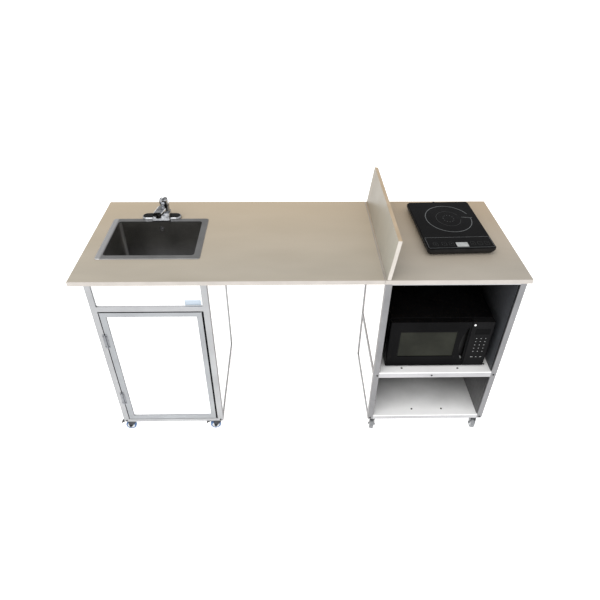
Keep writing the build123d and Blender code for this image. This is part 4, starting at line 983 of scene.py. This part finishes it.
# Hose clips on the water system's ports.
bm = bmesh.new()
CLIP_R = 8.2
clip_band = [(CLIP_R, -4), (CLIP_R + 1, -4), (CLIP_R + 1, 4), (CLIP_R, 4)]
for at, way in (
    ((-732.0, -137.0, 492.0), UP),
    ((-730.0, 172.0, 560.0), RIGHT),
    ((-817.0, 172.0, 596.0), UP),
    ((-686.5, 172.0, 856.0), UP),
):
    place = facing(way, at)
    add_turned(bm, clip_band, place, 32)
    add_prism(bm, rounded(7, 9, 1.5), 7, place @ Matrix.Translation((CLIP_R + 4, 0, -3.5)))
finish_piece("hose_clips", bm, hinge_steel, "root")

# --- Floor, light and camera -----------------------------------------------------------

FLOOR_HALF = 40000.0
bm = bmesh.new()
corners = ((-1, -1), (1, -1), (1, 1), (-1, 1))
bm.faces.new([bm.verts.new((x * FLOOR_HALF, y * FLOOR_HALF, -0.3)) for x, y in corners])
floor_mesh = bpy.data.meshes.new("floor")
bm.to_mesh(floor_mesh)
bm.free()
floor_mesh.transform(Matrix.Scale(MM, 4))
floor = bpy.data.objects.new("floor", floor_mesh)
bpy.context.scene.collection.objects.link(floor)
floor_paint = surface(
    "floor_paint", ((249, 249, 249), (252, 252, 252)), (0.7, 0.85), spec=0.1, cloud=0.4, grain=60.0,
)
floor_paint.glow(0.52)
floor_mesh.materials.append(floor_paint.mat)

# The sky is bright in front and along the horizon, and darker high behind, which is what
# the glass and the chrome mirror.
world = bpy.data.worlds.new("studio")
bpy.context.scene.world = world
world.use_nodes = True
sky = world.node_tree
place = sky.nodes.new("ShaderNodeTexCoord").outputs["Generated"]
split = sky.nodes.new("ShaderNodeSeparateXYZ")
sky.links.new(place, split.inputs["Vector"])


def sky_span(value, low, high, out_low, out_high):
    """A direction's part mapped from one range to another and held inside it."""
    node = sky.nodes.new("ShaderNodeMapRange")
    for name, bound in (
        ("From Min", low),
        ("From Max", high),
        ("To Min", out_low),
        ("To Max", out_high),
    ):
        node.inputs[name].default_value = bound
    sky.links.new(value, node.inputs["Value"])
    return node.outputs["Result"]


behind = sky_span(split.outputs["Y"], -0.2, 0.75, 1.12, 0.46)
horizon = sky_span(split.outputs["Z"], 0.18, 0.34, 1.0, 0.0)
strength = sky.nodes.new("ShaderNodeMath")
strength.operation = "MAXIMUM"
sky.links.new(behind, strength.inputs[0])
sky.links.new(horizon, strength.inputs[1])
sky.links.new(strength.outputs["Value"], sky.nodes["Background"].inputs["Strength"])
sky.nodes["Background"].inputs["Color"].default_value = (1.0, 1.0, 1.0, 1.0)

sun = bpy.data.objects.new("key", bpy.data.lights.new("key", "SUN"))
sun.data.energy = 1.1
sun.data.angle = math.radians(50)
sun.data.color = (1.0, 0.99, 0.97)
sun.rotation_euler = (math.radians(32), math.radians(-16), math.radians(-14))
bpy.context.scene.collection.objects.link(sun)

# Camera: where the lens stood, its turn, tilt and roll, and its focal length.
CAMERA_AT = (-56.2, -1977.4, 2134.2)
YAW, PITCH, ROLL = 1.68, 38.22, 0.68
LENS = 31.34
yaw, pitch, roll = (math.radians(a) for a in (YAW, PITCH, ROLL))
ahead = Vector(
    (math.sin(yaw) * math.cos(pitch), math.cos(yaw) * math.cos(pitch), -math.sin(pitch))
)
level = Vector((math.cos(yaw), -math.sin(yaw), 0))
upward = level.cross(ahead)
right = math.cos(roll) * level + math.sin(roll) * upward
above = -math.sin(roll) * level + math.cos(roll) * upward
camera = bpy.data.objects.new("camera", bpy.data.cameras.new("camera"))
camera.data.sensor_width = 36.0
camera.data.lens = LENS
camera.data.clip_end = 200.0
camera.matrix_world = Matrix.Translation(Vector(CAMERA_AT) * MM) @ (
    Matrix((right, above, -ahead)).transposed().to_4x4()
)
bpy.context.scene.collection.objects.link(camera)
bpy.context.scene.camera = camera
bpy.context.scene.view_settings.view_transform = "Standard"
